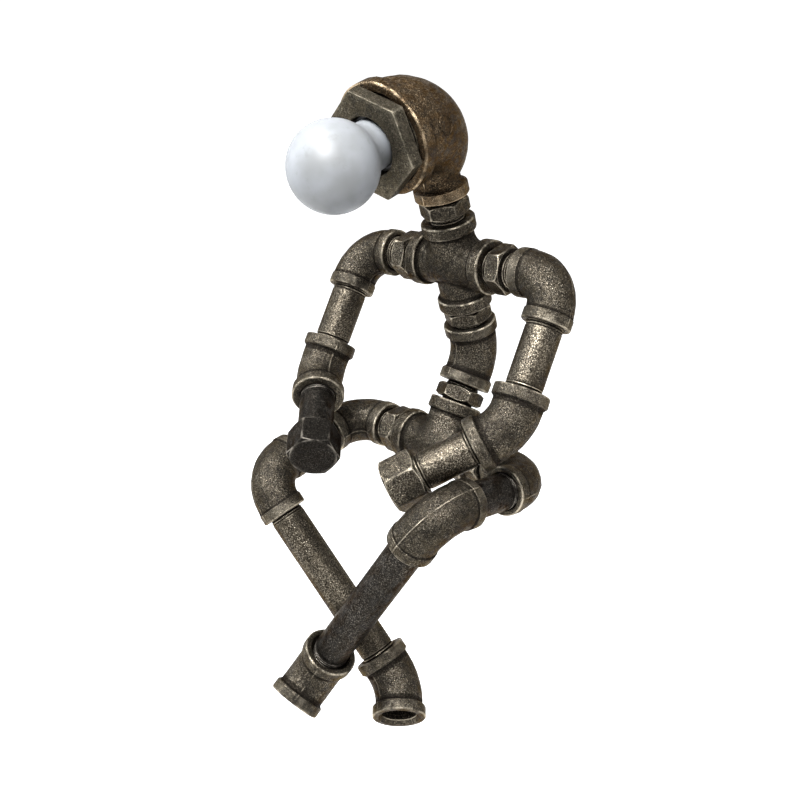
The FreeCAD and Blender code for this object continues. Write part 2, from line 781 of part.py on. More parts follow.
def holder_screw(label):
    """A pan head screw through the holder's flange into the bushing."""
    body = new_body(label)
    head_r = size("screw_head_diameter") * HALF
    head_height = size("screw_head_height")
    grip = size("holder_flange") + size("holder_screw_grip")
    outline = [
        (head_height * -1.0, ZERO),
        (head_height * -1.0, head_r),
        (ZERO, head_r),
        (ZERO, SCREW_R),
        (grip, SCREW_R),
        (grip, ZERO),
    ]
    turned(body, "screw", outline)
    return body


GLOBE_R = size("bulb_diameter") * HALF
GLOBE_CENTRE = size("bulb_centre")
GLASS = size("bulb_glass_wall")
GLASS_NECK_R = size("bulb_neck_diameter") * HALF
GLASS_SEAT_R = CAP_R - size("cap_thread_depth") - size("cap_wall") - size("glass_clearance")
GLASS_BACK = CAP_FRONT - size("glass_seat_depth")


def bulb_globe(label):
    """The frosted glass: a globe on a tapering neck, closed at the back by its pinch."""
    body = new_body(label)
    shoulder = size("bulb_shoulder_reach")
    shoulder_r = size("bulb_shoulder_diameter") * HALF
    neck_front = CAP_FRONT + size("bulb_neck_length")
    outside = [
        (GLASS_BACK, ZERO),
        (GLASS_BACK, GLASS_SEAT_R),
        (CAP_FRONT, GLASS_SEAT_R),
        (CAP_FRONT, GLASS_NECK_R),
        (neck_front, GLASS_NECK_R),
        (shoulder, shoulder_r),
        (GLOBE_CENTRE, shoulder_r),
        (GLOBE_CENTRE, ZERO),
    ]
    turned(body, "neck", outside)
    globe = body.newObject("PartDesign::AdditiveSphere", "globe")
    place_sphere(body, globe, GLOBE_R, GLOBE_CENTRE)
    inside = [
        (GLASS_BACK + GLASS, ZERO),
        (GLASS_BACK + GLASS, GLASS_SEAT_R - GLASS),
        (neck_front, GLASS_SEAT_R - GLASS),
        (shoulder, shoulder_r - GLASS),
        (GLOBE_CENTRE, shoulder_r - GLASS),
        (GLOBE_CENTRE, ZERO),
    ]
    turned(body, "neck_hollow", inside, cut=True)
    hollow = body.newObject("PartDesign::SubtractiveSphere", "globe_hollow")
    place_sphere(body, hollow, GLOBE_R - GLASS, GLOBE_CENTRE)
    return body


def bulb_stem(label):
    """The glass stem inside the globe with its ring of filament."""
    body = new_body(label)
    foot = GLASS_BACK + GLASS
    tip = GLOBE_CENTRE
    foot_r = size("stem_foot_diameter") * HALF
    stem_r = size("stem_diameter") * HALF
    foot_end = foot + size("stem_foot_height")
    outline = [(foot, ZERO), (foot, foot_r), (foot_end, stem_r), (tip, stem_r), (tip, ZERO)]
    turned(body, "stem", outline)
    ring_r = size("filament_ring_diameter") * HALF
    thickness = size("filament_thickness")
    ring = [
        (tip - thickness, ZERO),
        (tip - thickness, ring_r),
        (tip, ring_r),
        (tip, ZERO),
    ]
    turned(body, "ring", ring)
    return body


def bulb_cap(label):
    """The screw cap: sheet metal rolled into a round thread, open at the front and necked at the back."""
    body = new_body(label)
    pitch = size("cap_thread_pitch")
    wall = size("cap_wall")
    root_r = CAP_R - size("cap_thread_depth")
    turns = int((size("cap_skirt").number - size("cap_collar").number) / pitch.number)
    collar_back = CAP_FRONT - size("cap_collar")
    neck_r = size("cap_insulator_diameter") * HALF
    outer = [(CAP_FRONT, root_r), (collar_back, root_r)]
    for i in range(turns):
        x = collar_back - pitch * i
        outer.append((x - pitch * HALF, CAP_R))
        outer.append((x - pitch, root_r))
    inner = [(x, r - wall) for x, r in reversed(outer)]
    outer.append((CAP_BACK, neck_r))
    inner.insert(0, (CAP_BACK, neck_r - wall))
    turned(body, "skirt", outer + inner)
    return body


def bulb_insulator(label):
    """The dark glass cone between the cap and its button."""
    body = new_body(label)
    front_r = size("cap_insulator_diameter") * HALF
    back_r = size("cap_button_diameter") * HALF
    outline = [(INSULATOR_BACK, ZERO), (INSULATOR_BACK, back_r), (CAP_BACK, front_r), (CAP_BACK, ZERO)]
    turned(body, "cone", outline)
    return body


def bulb_contact(label):
    """The solder button at the back of the bulb."""
    body = new_body(label)
    button_r = size("cap_button_diameter") * HALF
    bevel = size("cap_button_height")
    outline = [(BUTTON_BACK, ZERO), (BUTTON_BACK, button_r - bevel), (INSULATOR_BACK, button_r), (INSULATOR_BACK, ZERO)]
    turned(body, "button", outline)
    return body


def cable_gland(label):
    """A flanged bush; its flange lies outside the wall, at X = 0, and its sleeve reaches inwards."""
    body = new_body(label)
    bore_r = size("gland_bore_diameter") * HALF
    flange_r = size("gland_flange_diameter") * HALF
    sleeve_r = GLAND_HOLE_R - size("thread_clearance")
    depth = size("gland_sleeve")
    seat = size("gland_flange_thickness")
    outline = [
        (ZERO, bore_r),
        (depth, bore_r),
        (depth, sleeve_r),
        (ZERO, sleeve_r),
    ]
    turned(body, "sleeve", outline)
    flange = [(seat * -1.0, bore_r), (ZERO, bore_r), (ZERO, flange_r), (seat * -1.0, flange_r - seat * HALF)]
    turned(body, "flange", flange)
    return body


def unit(vector):
    return Vector(vector).normalize()


def spun(axis, turn, vector):
    return Rotation(axis, turn).multVec(vector)


def seat(body, origin, x_direction, y_hint):
    """Puts the body's origin at a point with its X axis along a direction and Y as near the hint as it can be."""
    x = unit(x_direction)
    z = unit(x.cross(y_hint))
    body.Placement = Placement(origin, Rotation(x, z.cross(x), z, "XYZ"))


# the pose: directions and centres of the fittings, from the pelvis outwards
LEFT = Vector(1, 0, 0)
UP = Vector(0, 0, 1)
TEE_REACH = size("tee_reach").number
ELBOW_REACH = size("elbow_reach").number
HALFBEND_REACH = size("halfbend_reach").number
ENGAGEMENT = size("thread_engagement").number


def gap(name):
    return size(name + "_gap").number


pelvis = UP * TEE_BAND_R.number
lower_spine = spun(LEFT, -angle("spine_lean"), UP)
spine_hinge = spun(lower_spine, angle("waist_twist"), LEFT)
upper_spine = spun(spine_hinge, EIGHTH, lower_spine)
shoulder_line = spun(upper_spine, angle("chest_twist"), spine_hinge)
chest_front = unit(shoulder_line.cross(upper_spine))
waist = pelvis + lower_spine * (TEE_REACH + gap("lower_spine") + HALFBEND_REACH)
chest = waist + upper_spine * (HALFBEND_REACH + gap("upper_spine") + TEE_REACH)
head = chest + upper_spine * (TEE_REACH + gap("neck") + size("head_neck_reach").number)

tee = branch_fitting("pelvis_tee", (0.0, QUARTER, HALF_TURN), gland=True)
seat(tee, pelvis, LEFT, lower_spine)
gland = cable_gland("cable_gland")
back_of_tee = unit(lower_spine.cross(LEFT))
seat(gland, pelvis + back_of_tee * GLAND_SEAT.number, back_of_tee * -1.0, LEFT)

nipple = hexagon_nipple("lower_spine_nipple", size("lower_spine_gap"), size("spine_hexagon"))
seat(nipple, pelvis + lower_spine * (TEE_REACH - ENGAGEMENT), lower_spine, LEFT)
spine_elbow = half_elbow("spine_elbow")
seat(spine_elbow, waist, lower_spine, upper_spine)
nipple = hexagon_nipple(
    "upper_spine_nipple", size("upper_spine_gap"), size("upper_spine_hexagon"), share="upper_spine_start_share"
)
seat(nipple, waist + upper_spine * (HALFBEND_REACH - ENGAGEMENT), upper_spine, LEFT)
cross = branch_fitting("chest_cross", (0.0, QUARTER, HALF_TURN, HALF_TURN + QUARTER))
seat(cross, chest, shoulder_line, upper_spine)
nipple = hexagon_nipple("neck_nipple", size("neck_gap"), size("neck_hexagon"), turn="neck_nipple_turn")
neck_top = head - upper_spine * (size("head_neck_reach").number - ENGAGEMENT)
seat(nipple, neck_top, upper_spine * -1.0, shoulder_line)

HEAD_PIECES = (
    ("head_elbow", head_elbow),
    ("head_bushing", head_bushing),
    ("holder_body", holder_body),
    ("holder_screw_shell", holder_screw_shell),
    ("holder_contact", holder_contact),
    ("bulb_globe", bulb_globe),
    ("bulb_stem", bulb_stem),
    ("bulb_cap", bulb_cap),
    ("bulb_insulator", bulb_insulator),
    ("bulb_contact", bulb_contact),
)
for label, make in HEAD_PIECES:
    seat(make(label), head, chest_front, upper_spine)
screw_back = BUSHING_BACK.number - size("holder_flange").number
screw_side = unit(chest_front.cross(upper_spine))
for label, side in (("holder_screw_one", 1.0), ("holder_screw_two", -1.0)):
    spot = head + chest_front * screw_back + upper_spine * (SCREW_CIRCLE_R.number * side)
    seat(holder_screw(label), spot, chest_front, upper_spine)

for side, sign in (("left", 1.0), ("right", -1.0)):
    # arm: shoulder elbow, upper arm, arm elbow, forearm and hand cap
    outward = shoulder_line * sign
    shoulder = chest + outward * (TEE_REACH + gap("shoulder") + ELBOW_REACH)
    swing = math.radians(angle("shoulder_%s_swing" % side))
    upper_arm = upper_spine * -math.cos(swing) + chest_front * math.sin(swing)
    arm_elbow = shoulder + upper_arm * (ELBOW_REACH + gap("upper_arm_" + side) + HALFBEND_REACH)
    arm_hinge = spun(upper_arm, angle("elbow_%s_twist" % side), shoulder_line)
    forearm = spun(arm_hinge, -EIGHTH, upper_arm)
    hand = arm_elbow + forearm * (HALFBEND_REACH + gap("forearm"))

    nipple = hexagon_nipple("shoulder_nipple_" + side, size("shoulder_gap"), size("shoulder_hexagon"))
    seat(nipple, chest + outward * (TEE_REACH - ENGAGEMENT), outward, upper_spine)
    seat(right_elbow("shoulder_elbow_" + side), shoulder, outward, upper_arm)
    tube = pipe("upper_arm_" + side, size("upper_arm_%s_gap" % side))
    seat(tube, shoulder + upper_arm * (ELBOW_REACH - ENGAGEMENT), upper_arm, outward)
    seat(half_elbow("arm_elbow_" + side), arm_elbow, upper_arm, forearm)
    tube = pipe("forearm_" + side, size("forearm_gap"))
    seat(tube, arm_elbow + forearm * (HALFBEND_REACH - ENGAGEMENT), forearm, outward)
    seat(hexagon_cap("hand_cap_" + side), hand, forearm, outward)

    # leg: hip elbow, thigh, knee elbow, shin and foot elbow
    outward = LEFT * sign
    hip = pelvis + outward * (TEE_REACH + gap("hip") + ELBOW_REACH)
    drop = math.radians(angle("hip_%s_drop" % side))
    thigh = Vector(0, -math.cos(drop), -math.sin(drop))
    knee = hip + thigh * (ELBOW_REACH + gap("thigh") + ELBOW_REACH)
    knee_hinge = spun(thigh, angle("knee_%s_twist" % side), LEFT)
    shin = spun(knee_hinge, QUARTER, thigh)
    ankle = knee + shin * (ELBOW_REACH + gap("shin") + HALFBEND_REACH)
    foot_hinge = spun(shin, angle("ankle_%s_twist" % side), knee_hinge)
    foot = spun(foot_hinge, -EIGHTH, shin)

    nipple = hexagon_nipple("hip_nipple_" + side, size("hip_gap"), size("hip_hexagon"))
    seat(nipple, pelvis + outward * (TEE_REACH - ENGAGEMENT), outward, UP)
    seat(right_elbow("hip_elbow_" + side), hip, outward, thigh)
    tube = pipe("thigh_" + side, size("thigh_gap"))
    seat(tube, hip + thigh * (ELBOW_REACH - ENGAGEMENT), thigh, outward)
    seat(right_elbow("knee_elbow_" + side), knee, thigh, shin)
    tube = pipe("shin_" + side, size("shin_gap"))
    seat(tube, knee + shin * (ELBOW_REACH - ENGAGEMENT), shin, outward)
    open_mouth = size("foot_mouth_chamfer")
    seat(half_elbow("foot_elbow_" + side, open_mouth), ankle, shin, foot)

doc.recompute()

pieces = [obj for obj in doc.Objects if obj.TypeId == "PartDesign::Body"]
failed = [obj.Label for obj in doc.Objects if "Invalid" in obj.State or "Error" in obj.State]
if failed:
    raise RuntimeError("these objects failed: " + ", ".join(failed))
for piece in pieces:
    if piece.Shape.isNull() or not piece.Shape.isValid():
        raise RuntimeError(piece.Label + " has no valid shape")
    if len(piece.Shape.Solids) != 1:
        raise RuntimeError(piece.Label + " is not one solid")

os.makedirs("parts", exist_ok=True)
for piece in pieces:
    piece.Shape.exportStep("parts/%s.step" % piece.Label)
print(len(pieces), "pieces written")
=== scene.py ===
import json
import math

import bpy
import numpy as np
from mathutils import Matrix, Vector


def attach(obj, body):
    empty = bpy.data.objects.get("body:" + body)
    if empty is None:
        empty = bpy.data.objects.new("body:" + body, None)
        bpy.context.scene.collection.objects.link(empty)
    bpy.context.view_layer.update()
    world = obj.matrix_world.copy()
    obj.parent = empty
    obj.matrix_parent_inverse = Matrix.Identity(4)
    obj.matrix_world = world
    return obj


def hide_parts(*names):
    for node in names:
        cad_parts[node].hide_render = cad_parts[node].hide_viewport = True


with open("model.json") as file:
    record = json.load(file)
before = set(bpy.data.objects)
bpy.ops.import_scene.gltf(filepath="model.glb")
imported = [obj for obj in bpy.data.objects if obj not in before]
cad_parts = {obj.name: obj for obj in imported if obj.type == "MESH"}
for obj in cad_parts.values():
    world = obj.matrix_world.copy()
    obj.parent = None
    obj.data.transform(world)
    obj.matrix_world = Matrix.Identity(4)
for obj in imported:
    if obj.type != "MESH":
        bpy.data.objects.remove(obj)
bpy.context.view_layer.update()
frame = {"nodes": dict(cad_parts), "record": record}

MM = 0.001
TAU = 2.0 * math.pi
QUARTER = 0.5 * math.pi

# driving sizes of the real lamp, in millimetres
PIPE_R = 10.65
PIPE_BORE_R = 8.0
NIPPLE_BORE_R = 7.5
WATER_R = 7.75
SOCKET_R = 10.35
SOCKET_DEPTH = 14.2
SOCKET_STEP = 0.3
SOCKET_CHAMFER = 1.0
ENGAGED = 13.0

THREAD_PITCH = 1.814
THREAD_DEPTH = 0.75
THREAD_CREST = 10.3
THREAD_RUNOUT = 3.2
THREAD_END = 0.6
THREAD_END_DROP = 0.8
THREAD_STOP = 0.5
THREAD_CLEARANCE = 0.2
RELIEF_WIDTH = 0.3
RELIEF_DROP = 0.7
HEX_ROOT_DROP = 0.6

ELBOW_REACH = 28.0
ELBOW = dict(reach=ELBOW_REACH, run=21.5, degrees=90.0, body_r=13.55, band_r=14.3)
HALFBEND_REACH = 22.0
HALFBEND = dict(reach=HALFBEND_REACH, run=12.5, degrees=45.0, body_r=14.35, band_r=16.1)
FOOT = dict(HALFBEND, chamfer=2.4, threads=True)
TEE_REACH = 28.0
TEE_R = 13.95
TEE_BAND_R = 16.15
TEE_EDGE = 1.0
CROTCH = 5.5
BAND_WIDTH = 7.5
BAND_BLEND = 1.2
BOSS_FACE = 15.15
BOSS_R = 7.5
BOSS_ROUNDING = 0.5
GLAND_HOLE_R = 4.5

# a hexagon's bevel: how far behind its end, and how far below its flats
HEX_BEVEL = ((0.0, 0.45), (0.08, 0.15))
HEX_CHAMFER_START = 0.25
HEX_CHAMFER_SLOPE = 1.7
HEX_ROUNDING = 0.5
HEX_SHARPNESS = 70
NIPPLE_FLATS = 26.0
NIPPLE_TURN = 30.0
NIPPLE_START_SHARE = 0.35
SIDE_HEXAGON = 9.5
CAP_FLATS = 28.0
CAP_LENGTH = 19.5
CAP_WALL = 4.0
CAP_FACE_EDGE = 2.5
CAP_FACE_MIDDLE_R = 5.0
HAND_CAP_TURN = {"left": 0.0, "right": 30.0}

NECK_GAP = 14.5
SHOULDER_GAP = 20.0
UPPER_SPINE_GAP = 11.0
LOWER_SPINE_GAP = 12.0
HIP_GAP = 16.0
UPPER_ARM_GAP = {"left": 38.0, "right": 35.0}
FOREARM_GAP = 32.5
THIGH_GAP = 30.0
SHIN_GAP = 102.0

# each spine nipple's gap, its hexagon's length and turn, and the share of the rest of the gap before it
SPINE_NIPPLES = {
    "neck_nipple": (NECK_GAP, 9.0, 25.0, NIPPLE_START_SHARE),
    "lower_spine_nipple": (LOWER_SPINE_GAP, 8.5, NIPPLE_TURN, NIPPLE_START_SHARE),
    "upper_spine_nipple": (UPPER_SPINE_GAP, 8.0, NIPPLE_TURN, 0.6),
}

# the pose, in degrees
SPINE_LEAN = 31.0
WAIST_TWIST = -6.0
CHEST_TWIST = 6.0
SHOULDER_SWING = {"left": 47.5, "right": 48.0}
ELBOW_TWIST = {"left": 63.0, "right": -60.0}
HIP_DROP = {"left": -7.6, "right": 10.0}
KNEE_TWIST = {"left": -31.0, "right": 40.5}
ANKLE_TWIST = {"left": -24.0, "right": -13.0}

# the head, measured from the centre of its elbow
HEAD_NECK_REACH = 48.5
HEAD_NECK_R = 12.8
HEAD_R = 28.6
HEAD_CAVITY_R = 24.2
HEAD_WALL = 4.4
HEAD_CHAMFER = 3.0
HEAD_RIM = dict(band_r=32.1, width=10.0, nose=1.4, shoulder=3.4, steps=9)
HEAD_MOUTH = 37.2
HEAD_BEND_FRONT = 19.0
HEAD_BEND_DROP = 36.5
# how far the head's bend reaches from its pivot, at its start, halfway and at the neck
BEND_HEEL = (65.1, 52.0, 31.8)
BEND_TOE = (7.9, 7.05, 6.2)

# the raised ring on the head's side: its place as a share of the bend and as a turn round it
MARK_SHARE = 0.09
MARK_ANGLE = -0.52 * math.pi
MARK_ARC = 57.0
MARK_RADIUS = 5.4
MARK_WIDTH = 1.5
MARK_HEIGHT = 0.9
MARK_SINK = 0.25

BUSHING_BACK = 22.2
BUSHING_STEM_R = 24.15
BUSHING_BEVEL = 1.0
BUSHING_RELIEF = 1.4
BUSHING_HEX_BACK = 38.8
BUSHING_HEX_FRONT = 47.3
BUSHING_FLATS = 54.0
BUSHING_TURN = 70.0
BUSHING_FACE_EDGE = 3.0
BUSHING_BORE_R = 16.5
BUSHING_LIP = 1.2

BULB_CENTRE = 74.6
BULB_R = 25.0
BULB_CAP_FRONT = 40.0
BULB_NECK_R = 14.2
BULB_NECK_LENGTH = 9.0
BULB_NECK_EDGE = 0.5
BULB_NECK_LEAN = 0.2
BULB_JOIN = 48.0
GLASS = 1.0
GLASS_FRONT_SHARE = 0.6
GLASS_BACK = 32.0
GLASS_HOLE_R = 4.0
GLASS_SEAT_R = 11.7
GLASS_EDGE = 0.6

# the cast and worn skin
BEAD_NOSE = 1.0
BEAD_SHOULDER = 1.8
BEAD_ROUNDING = 0.7
BEAD_BACK_TURN = 0.35 * math.pi
LUMP_WAVES = 9
LUMP_SIZE = 7.0
LUMP_SPREAD = (0.6, 1.5)
LUMP_HEIGHT = 0.07
SEAM_HEIGHT = 0.22
SEAM_WIDTH = 0.55
SEAM_START = 0.8
SEAM_GROWTH = 2.0
HEAD_SEAM_START = 2.0
HEAD_SEAM_GROWTH = 3.0
MOULD_GATHER = 0.3
SEEDS = {
    "pelvis": 1, "chest": 2, "spine": 3, "head": 7,
    "shoulder": 38, "arm": 28, "hip": 28, "knee": 30, "foot": 40,
}

# how finely the surfaces are divided
THREAD_RINGS = 6
BEAD_STEPS = 7
ELBOW_SEGMENTS = 112
ELBOW_RING_STEP = 0.9
WATER_RINGS = 10
NET_STEP = 0.65
NET_MARGIN = 1.0
NET_ROUNDS = 2
NET_EASE = 0.35
NET_NUDGE = 0.02
NET_LEAST_SLOPE = 0.2
NET_LONGEST_MOVE = 0.4
HEX_SEGMENTS = 144
HEX_CHAMFER_STEPS = 6
PIPE_SEGMENTS = 96
PIPE_RING_STEP = 2.0
HEAD_SEGMENTS = 176
HEAD_BEND_RINGS = 60
HEAD_STRAIGHT_RINGS = 6
HEAD_CAVITY_RINGS = 12
MARK_STEPS = 48
MARK_ACROSS = 7
ROUNDING_STEPS = 4
BULB_NECK_RINGS = 14
BULB_RINGS = 48
BULB_SEGMENTS = 128
SHARP_ANGLE = 40.0
BULB_SHARP_ANGLE = 70.0
CAP_AXIS_R = 0.02
BULB_AXIS_R = 0.01
HAIR = 0.001


def unit(vector):
    return np.asarray(vector, float) / np.linalg.norm(vector)


def spun(axis, degrees, vector):
    """The vector turned about the axis by the right-hand rule."""
    axis = unit(axis)
    angle = math.radians(degrees)
    vector = np.asarray(vector, float)
    along = axis * np.dot(axis, vector) * (1.0 - math.cos(angle))
    return vector * math.cos(angle) + np.cross(axis, vector) * math.sin(angle) + along


def seat(origin, x_direction, y_hint):
    """A local frame: its origin and its X, Y and Z directions, with X exact."""
    x = unit(x_direction)
    z = unit(np.cross(x, y_hint))
    return np.asarray(origin, float), np.array([x, np.cross(z, x), z])


def screwed(centre, reach, along, y_hint):
    """The frame of a piece that is screwed into a fitting's mouth, so far from its centre."""
    return seat(centre + along * (reach - ENGAGED), along, y_hint)


def piece_seats():
    """Where each piece that this script models anew lies, worked out from the pelvis outwards."""
    left = np.array([1.0, 0.0, 0.0])
    up = np.array([0.0, 0.0, 1.0])
    pelvis = up * TEE_BAND_R
    lower = spun(left, -SPINE_LEAN, up)
    spine_hinge = spun(lower, WAIST_TWIST, left)
    upper = spun(spine_hinge, 45.0, lower)
    line = spun(upper, CHEST_TWIST, spine_hinge)
    front = unit(np.cross(line, upper))
    waist = pelvis + lower * (TEE_REACH + LOWER_SPINE_GAP + HALFBEND_REACH)
    chest = waist + upper * (HALFBEND_REACH + UPPER_SPINE_GAP + TEE_REACH)
    head = chest + upper * (TEE_REACH + NECK_GAP + HEAD_NECK_REACH)
    seats = {
        "pelvis_tee": seat(pelvis, left, lower),
        "lower_spine_nipple": screwed(pelvis, TEE_REACH, lower, left),
        "spine_elbow": seat(waist, lower, upper),
        "upper_spine_nipple": screwed(waist, HALFBEND_REACH, upper, left),
        "chest_cross": seat(chest, line, upper),
        "neck_nipple": screwed(head, HEAD_NECK_REACH, -upper, line),
        "head": seat(head, front, upper),
    }
    for side, sign in (("left", 1.0), ("right", -1.0)):
        out = line * sign
        shoulder = chest + out * (TEE_REACH + SHOULDER_GAP + ELBOW_REACH)
        swing = math.radians(SHOULDER_SWING[side])
        arm = front * math.sin(swing) - upper * math.cos(swing)
        arm_elbow = shoulder + arm * (ELBOW_REACH + UPPER_ARM_GAP[side] + HALFBEND_REACH)
        arm_hinge = spun(arm, ELBOW_TWIST[side], line)
        forearm = spun(arm_hinge, -45.0, arm)
        own = {
            "shoulder_nipple": screwed(chest, TEE_REACH, out, upper),
            "shoulder_elbow": seat(shoulder, out, arm),
            "upper_arm": screwed(shoulder, ELBOW_REACH, arm, out),
            "arm_elbow": seat(arm_elbow, arm, forearm),
            "forearm": screwed(arm_elbow, HALFBEND_REACH, forearm, out),
            "hand_cap": seat(arm_elbow + forearm * (HALFBEND_REACH + FOREARM_GAP), forearm, out),
        }
        out = left * sign
        hip = pelvis + out * (TEE_REACH + HIP_GAP + ELBOW_REACH)
        drop = math.radians(HIP_DROP[side])
        thigh = np.array([0.0, -math.cos(drop), -math.sin(drop)])
        knee = hip + thigh * (ELBOW_REACH + THIGH_GAP + ELBOW_REACH)
        knee_hinge = spun(thigh, KNEE_TWIST[side], left)
        shin = spun(knee_hinge, 90.0, thigh)
        ankle = knee + shin * (ELBOW_REACH + SHIN_GAP + HALFBEND_REACH)
        foot_hinge = spun(shin, ANKLE_TWIST[side], knee_hinge)
        foot = spun(foot_hinge, -45.0, shin)
        own["hip_nipple"] = screwed(pelvis, TEE_REACH, out, up)
        own["hip_elbow"] = seat(hip, out, thigh)
        own["thigh"] = screwed(hip, ELBOW_REACH, thigh, out)
        own["knee_elbow"] = seat(knee, thigh, shin)
        own["shin"] = screwed(knee, ELBOW_REACH, shin, out)
        own["foot_elbow"] = seat(ankle, shin, foot)
        seats.update((part + "_" + side, place) for part, place in own.items())
    return seats


SEATS = piece_seats()


def linked(name, data):
    obj = bpy.data.objects.new(name, data)
    bpy.context.scene.collection.objects.link(obj)
    return obj


def add_mesh(name, points, faces, place, sharp_angle=SHARP_ANGLE):
    """A smooth-shaded mesh from local points in millimetres."""
    origin, axes = place
    world = (np.asarray(points) @ axes + origin) * MM
    mesh = bpy.data.meshes.new(name)
    mesh.from_pydata(world.tolist(), [], faces)
    mesh.update()
    obj = linked(name, mesh)
    mesh.shade_smooth()
    mesh.set_sharp_from_angle(angle=math.radians(sharp_angle))
    store_curves(mesh)
    return obj


# the names of the stored values, and how many more rounds of smoothing come before each
# the second, broader layer finds the hollows that get grime and painted shade
CURVE_LAYERS = (("wear", 2), ("grime_and_shade", 14))
SHORTEST_EDGE = 0.2


def vectors(items, key):
    values = np.empty(len(items) * 3)
    items.foreach_get(key, values)
    return values.reshape(-1, 3)


def store_curves(mesh):
    """Stores how sharply the surface curves at each vertex, per millimetre, for worn edges and for the grime
    and painted shade in hollows and creases.
    """
    count = len(mesh.vertices)
    co = vectors(mesh.vertices, "co")
    normal = vectors(mesh.vertex_normals, "vector")
    ends = np.empty(len(mesh.edges) * 2, int)
    mesh.edges.foreach_get("vertices", ends)
    a, b = ends.reshape(-1, 2).T
    length = np.maximum(np.linalg.norm(co[b] - co[a], axis=1), SHORTEST_EDGE * MM)
    rise_a = np.einsum("ij,ij->i", co[a] - co[b], normal[a]) / length ** 2 * MM
    rise_b = np.einsum("ij,ij->i", co[b] - co[a], normal[b]) / length ** 2 * MM
    total = np.bincount(a, rise_a, count) + np.bincount(b, rise_b, count)
    links = np.maximum(np.bincount(a, minlength=count) + np.bincount(b, minlength=count), 1)
    proud = total / links
    for name, rounds in CURVE_LAYERS:
        for _ in range(rounds):
            spread = np.bincount(a, proud[b], count) + np.bincount(b, proud[a], count)
            proud = 0.5 * proud + 0.5 * spread / links
        layer = mesh.attributes.new(name, "FLOAT", "POINT")
        layer.data.foreach_set("value", proud.astype(np.float32))


def ring_faces(rings, segments):
    """Quads between neighbouring rings, with the last ring joined to the first."""
    faces = []
    for i in range(rings):
        start = i * segments
        after = (i + 1) % rings * segments
        for k in range(segments):
            n = (k + 1) % segments
            faces.append((start + k, start + n, after + n, after + k))
    return faces


def smooth_step(x):
    x = np.clip(x, 0.0, 1.0)
    return x * x * (3.0 - 2.0 * x)


def wave(turns):
    """A wave that goes from 0 to 1 and back in one turn."""
    return 0.5 - 0.5 * math.cos(turns * TAU)


def band_profile(body_r, band_r, width, nose=BEAD_NOSE, shoulder=BEAD_SHOULDER, steps=BEAD_STEPS):
    """Outside radius against the distance from the mouth: a rounded bead that falls to the body."""
    profile = []
    for i in range(steps + 1):
        turn = i / steps * QUARTER
        profile.append((nose * (1.0 - math.sin(turn)), band_r - nose * (1.0 - math.cos(turn))))
    profile.reverse()
    back = width - shoulder * 0.5 - BEAD_ROUNDING
    for i in range(1, steps + 1):
        turn = i / steps * BEAD_BACK_TURN
        drop = BEAD_ROUNDING * (1.0 - math.cos(turn))
        profile.append((back + BEAD_ROUNDING * math.sin(turn), band_r - drop))
    d0, r0 = profile[-1]
    for i in range(1, steps + 1):
        t = i / steps
        profile.append((d0 + shoulder * t, body_r + (r0 - body_r) * (1.0 - math.sin(t * QUARTER))))
    return profile


def mould_angles(segments):
    """Turns round a ring, closer together where the two halves of the mould met."""
    turn = np.arange(segments) / segments * TAU
    return turn - MOULD_GATHER * np.sin(2.0 * turn)


def ring_points(centre, heading, radius, angles):
    """A ring round a middle line in the XY plane, from a radius for every angle."""
    across = np.array([-math.sin(heading), math.cos(heading), 0.0])
    side = np.array([0.0, 0.0, 1.0])
    middle = np.array([centre[0], centre[1], 0.0])
    radius = np.broadcast_to(radius, angles.shape)
    return middle + np.outer(radius * np.cos(angles), across) + np.outer(radius * np.sin(angles), side)


def lumps(points, seed, size, height):
    """The slow unevenness of a sand-cast skin, as a height for every point."""
    generator = np.random.default_rng(seed)
    total = np.zeros(len(points))
    for _ in range(LUMP_WAVES):
        direction = generator.normal(size=3)
        direction *= TAU / size / np.linalg.norm(direction) * generator.uniform(*LUMP_SPREAD)
        total += np.sin(points @ direction + generator.uniform(0.0, TAU))
    return total * height / math.sqrt(LUMP_WAVES)


def seam_rise(points):
    """The ridge that the mould's parting left along the XY plane."""
    return SEAM_HEIGHT * np.exp(-(points[:, 2] / SEAM_WIDTH) ** 2)


def cast_ring(centre, heading, radius, angles, seed, seam):
    """One ring of a casting, with its share of the seam and its unevenness."""
    plain = ring_points(centre, heading, radius, angles)
    radius = radius + seam * seam_rise(plain) + lumps(plain, seed, LUMP_SIZE, LUMP_HEIGHT)
    return ring_points(centre, heading, radius, angles)


def bend_path(reach, run, sweep):
    """The middle line of an elbow, as a function of the distance from its inlet, and its length."""
    radius = run / math.tan(sweep / 2.0)
    straight = reach - run
    arc = radius * sweep

    def at(distance):
        if distance <= straight:
            return (distance - reach, 0.0), 0.0
        if distance <= straight + arc:
            turn = (distance - straight) / radius
            return (radius * math.sin(turn) - run, radius * (1.0 - math.cos(turn))), turn
        along = distance - straight - arc + run
        return (along * math.cos(sweep), along * math.sin(sweep)), sweep

    return at, 2.0 * straight + arc


def socket_profile(chamfer, threads):
    """Inside radius against the depth from a mouth: its chamfer, its thread and the step to the waterway."""
    profile = [(0.0, SOCKET_R + chamfer)]
    if threads:
        ridges = int((SOCKET_DEPTH - chamfer) / THREAD_PITCH * THREAD_RINGS)
        for i in range(ridges):
            depth = chamfer * 0.5 + i / THREAD_RINGS * THREAD_PITCH
            cone = SOCKET_R + max(chamfer - depth, 0.0)
            ridge = SOCKET_R + THREAD_CLEARANCE - THREAD_DEPTH * wave(i / THREAD_RINGS)
            profile.append((depth, max(cone, ridge)))
    else:
        profile.append((chamfer, SOCKET_R))
    profile.append((SOCKET_DEPTH - SOCKET_STEP, SOCKET_R))
    profile.append((SOCKET_DEPTH, WATER_R))
    return profile


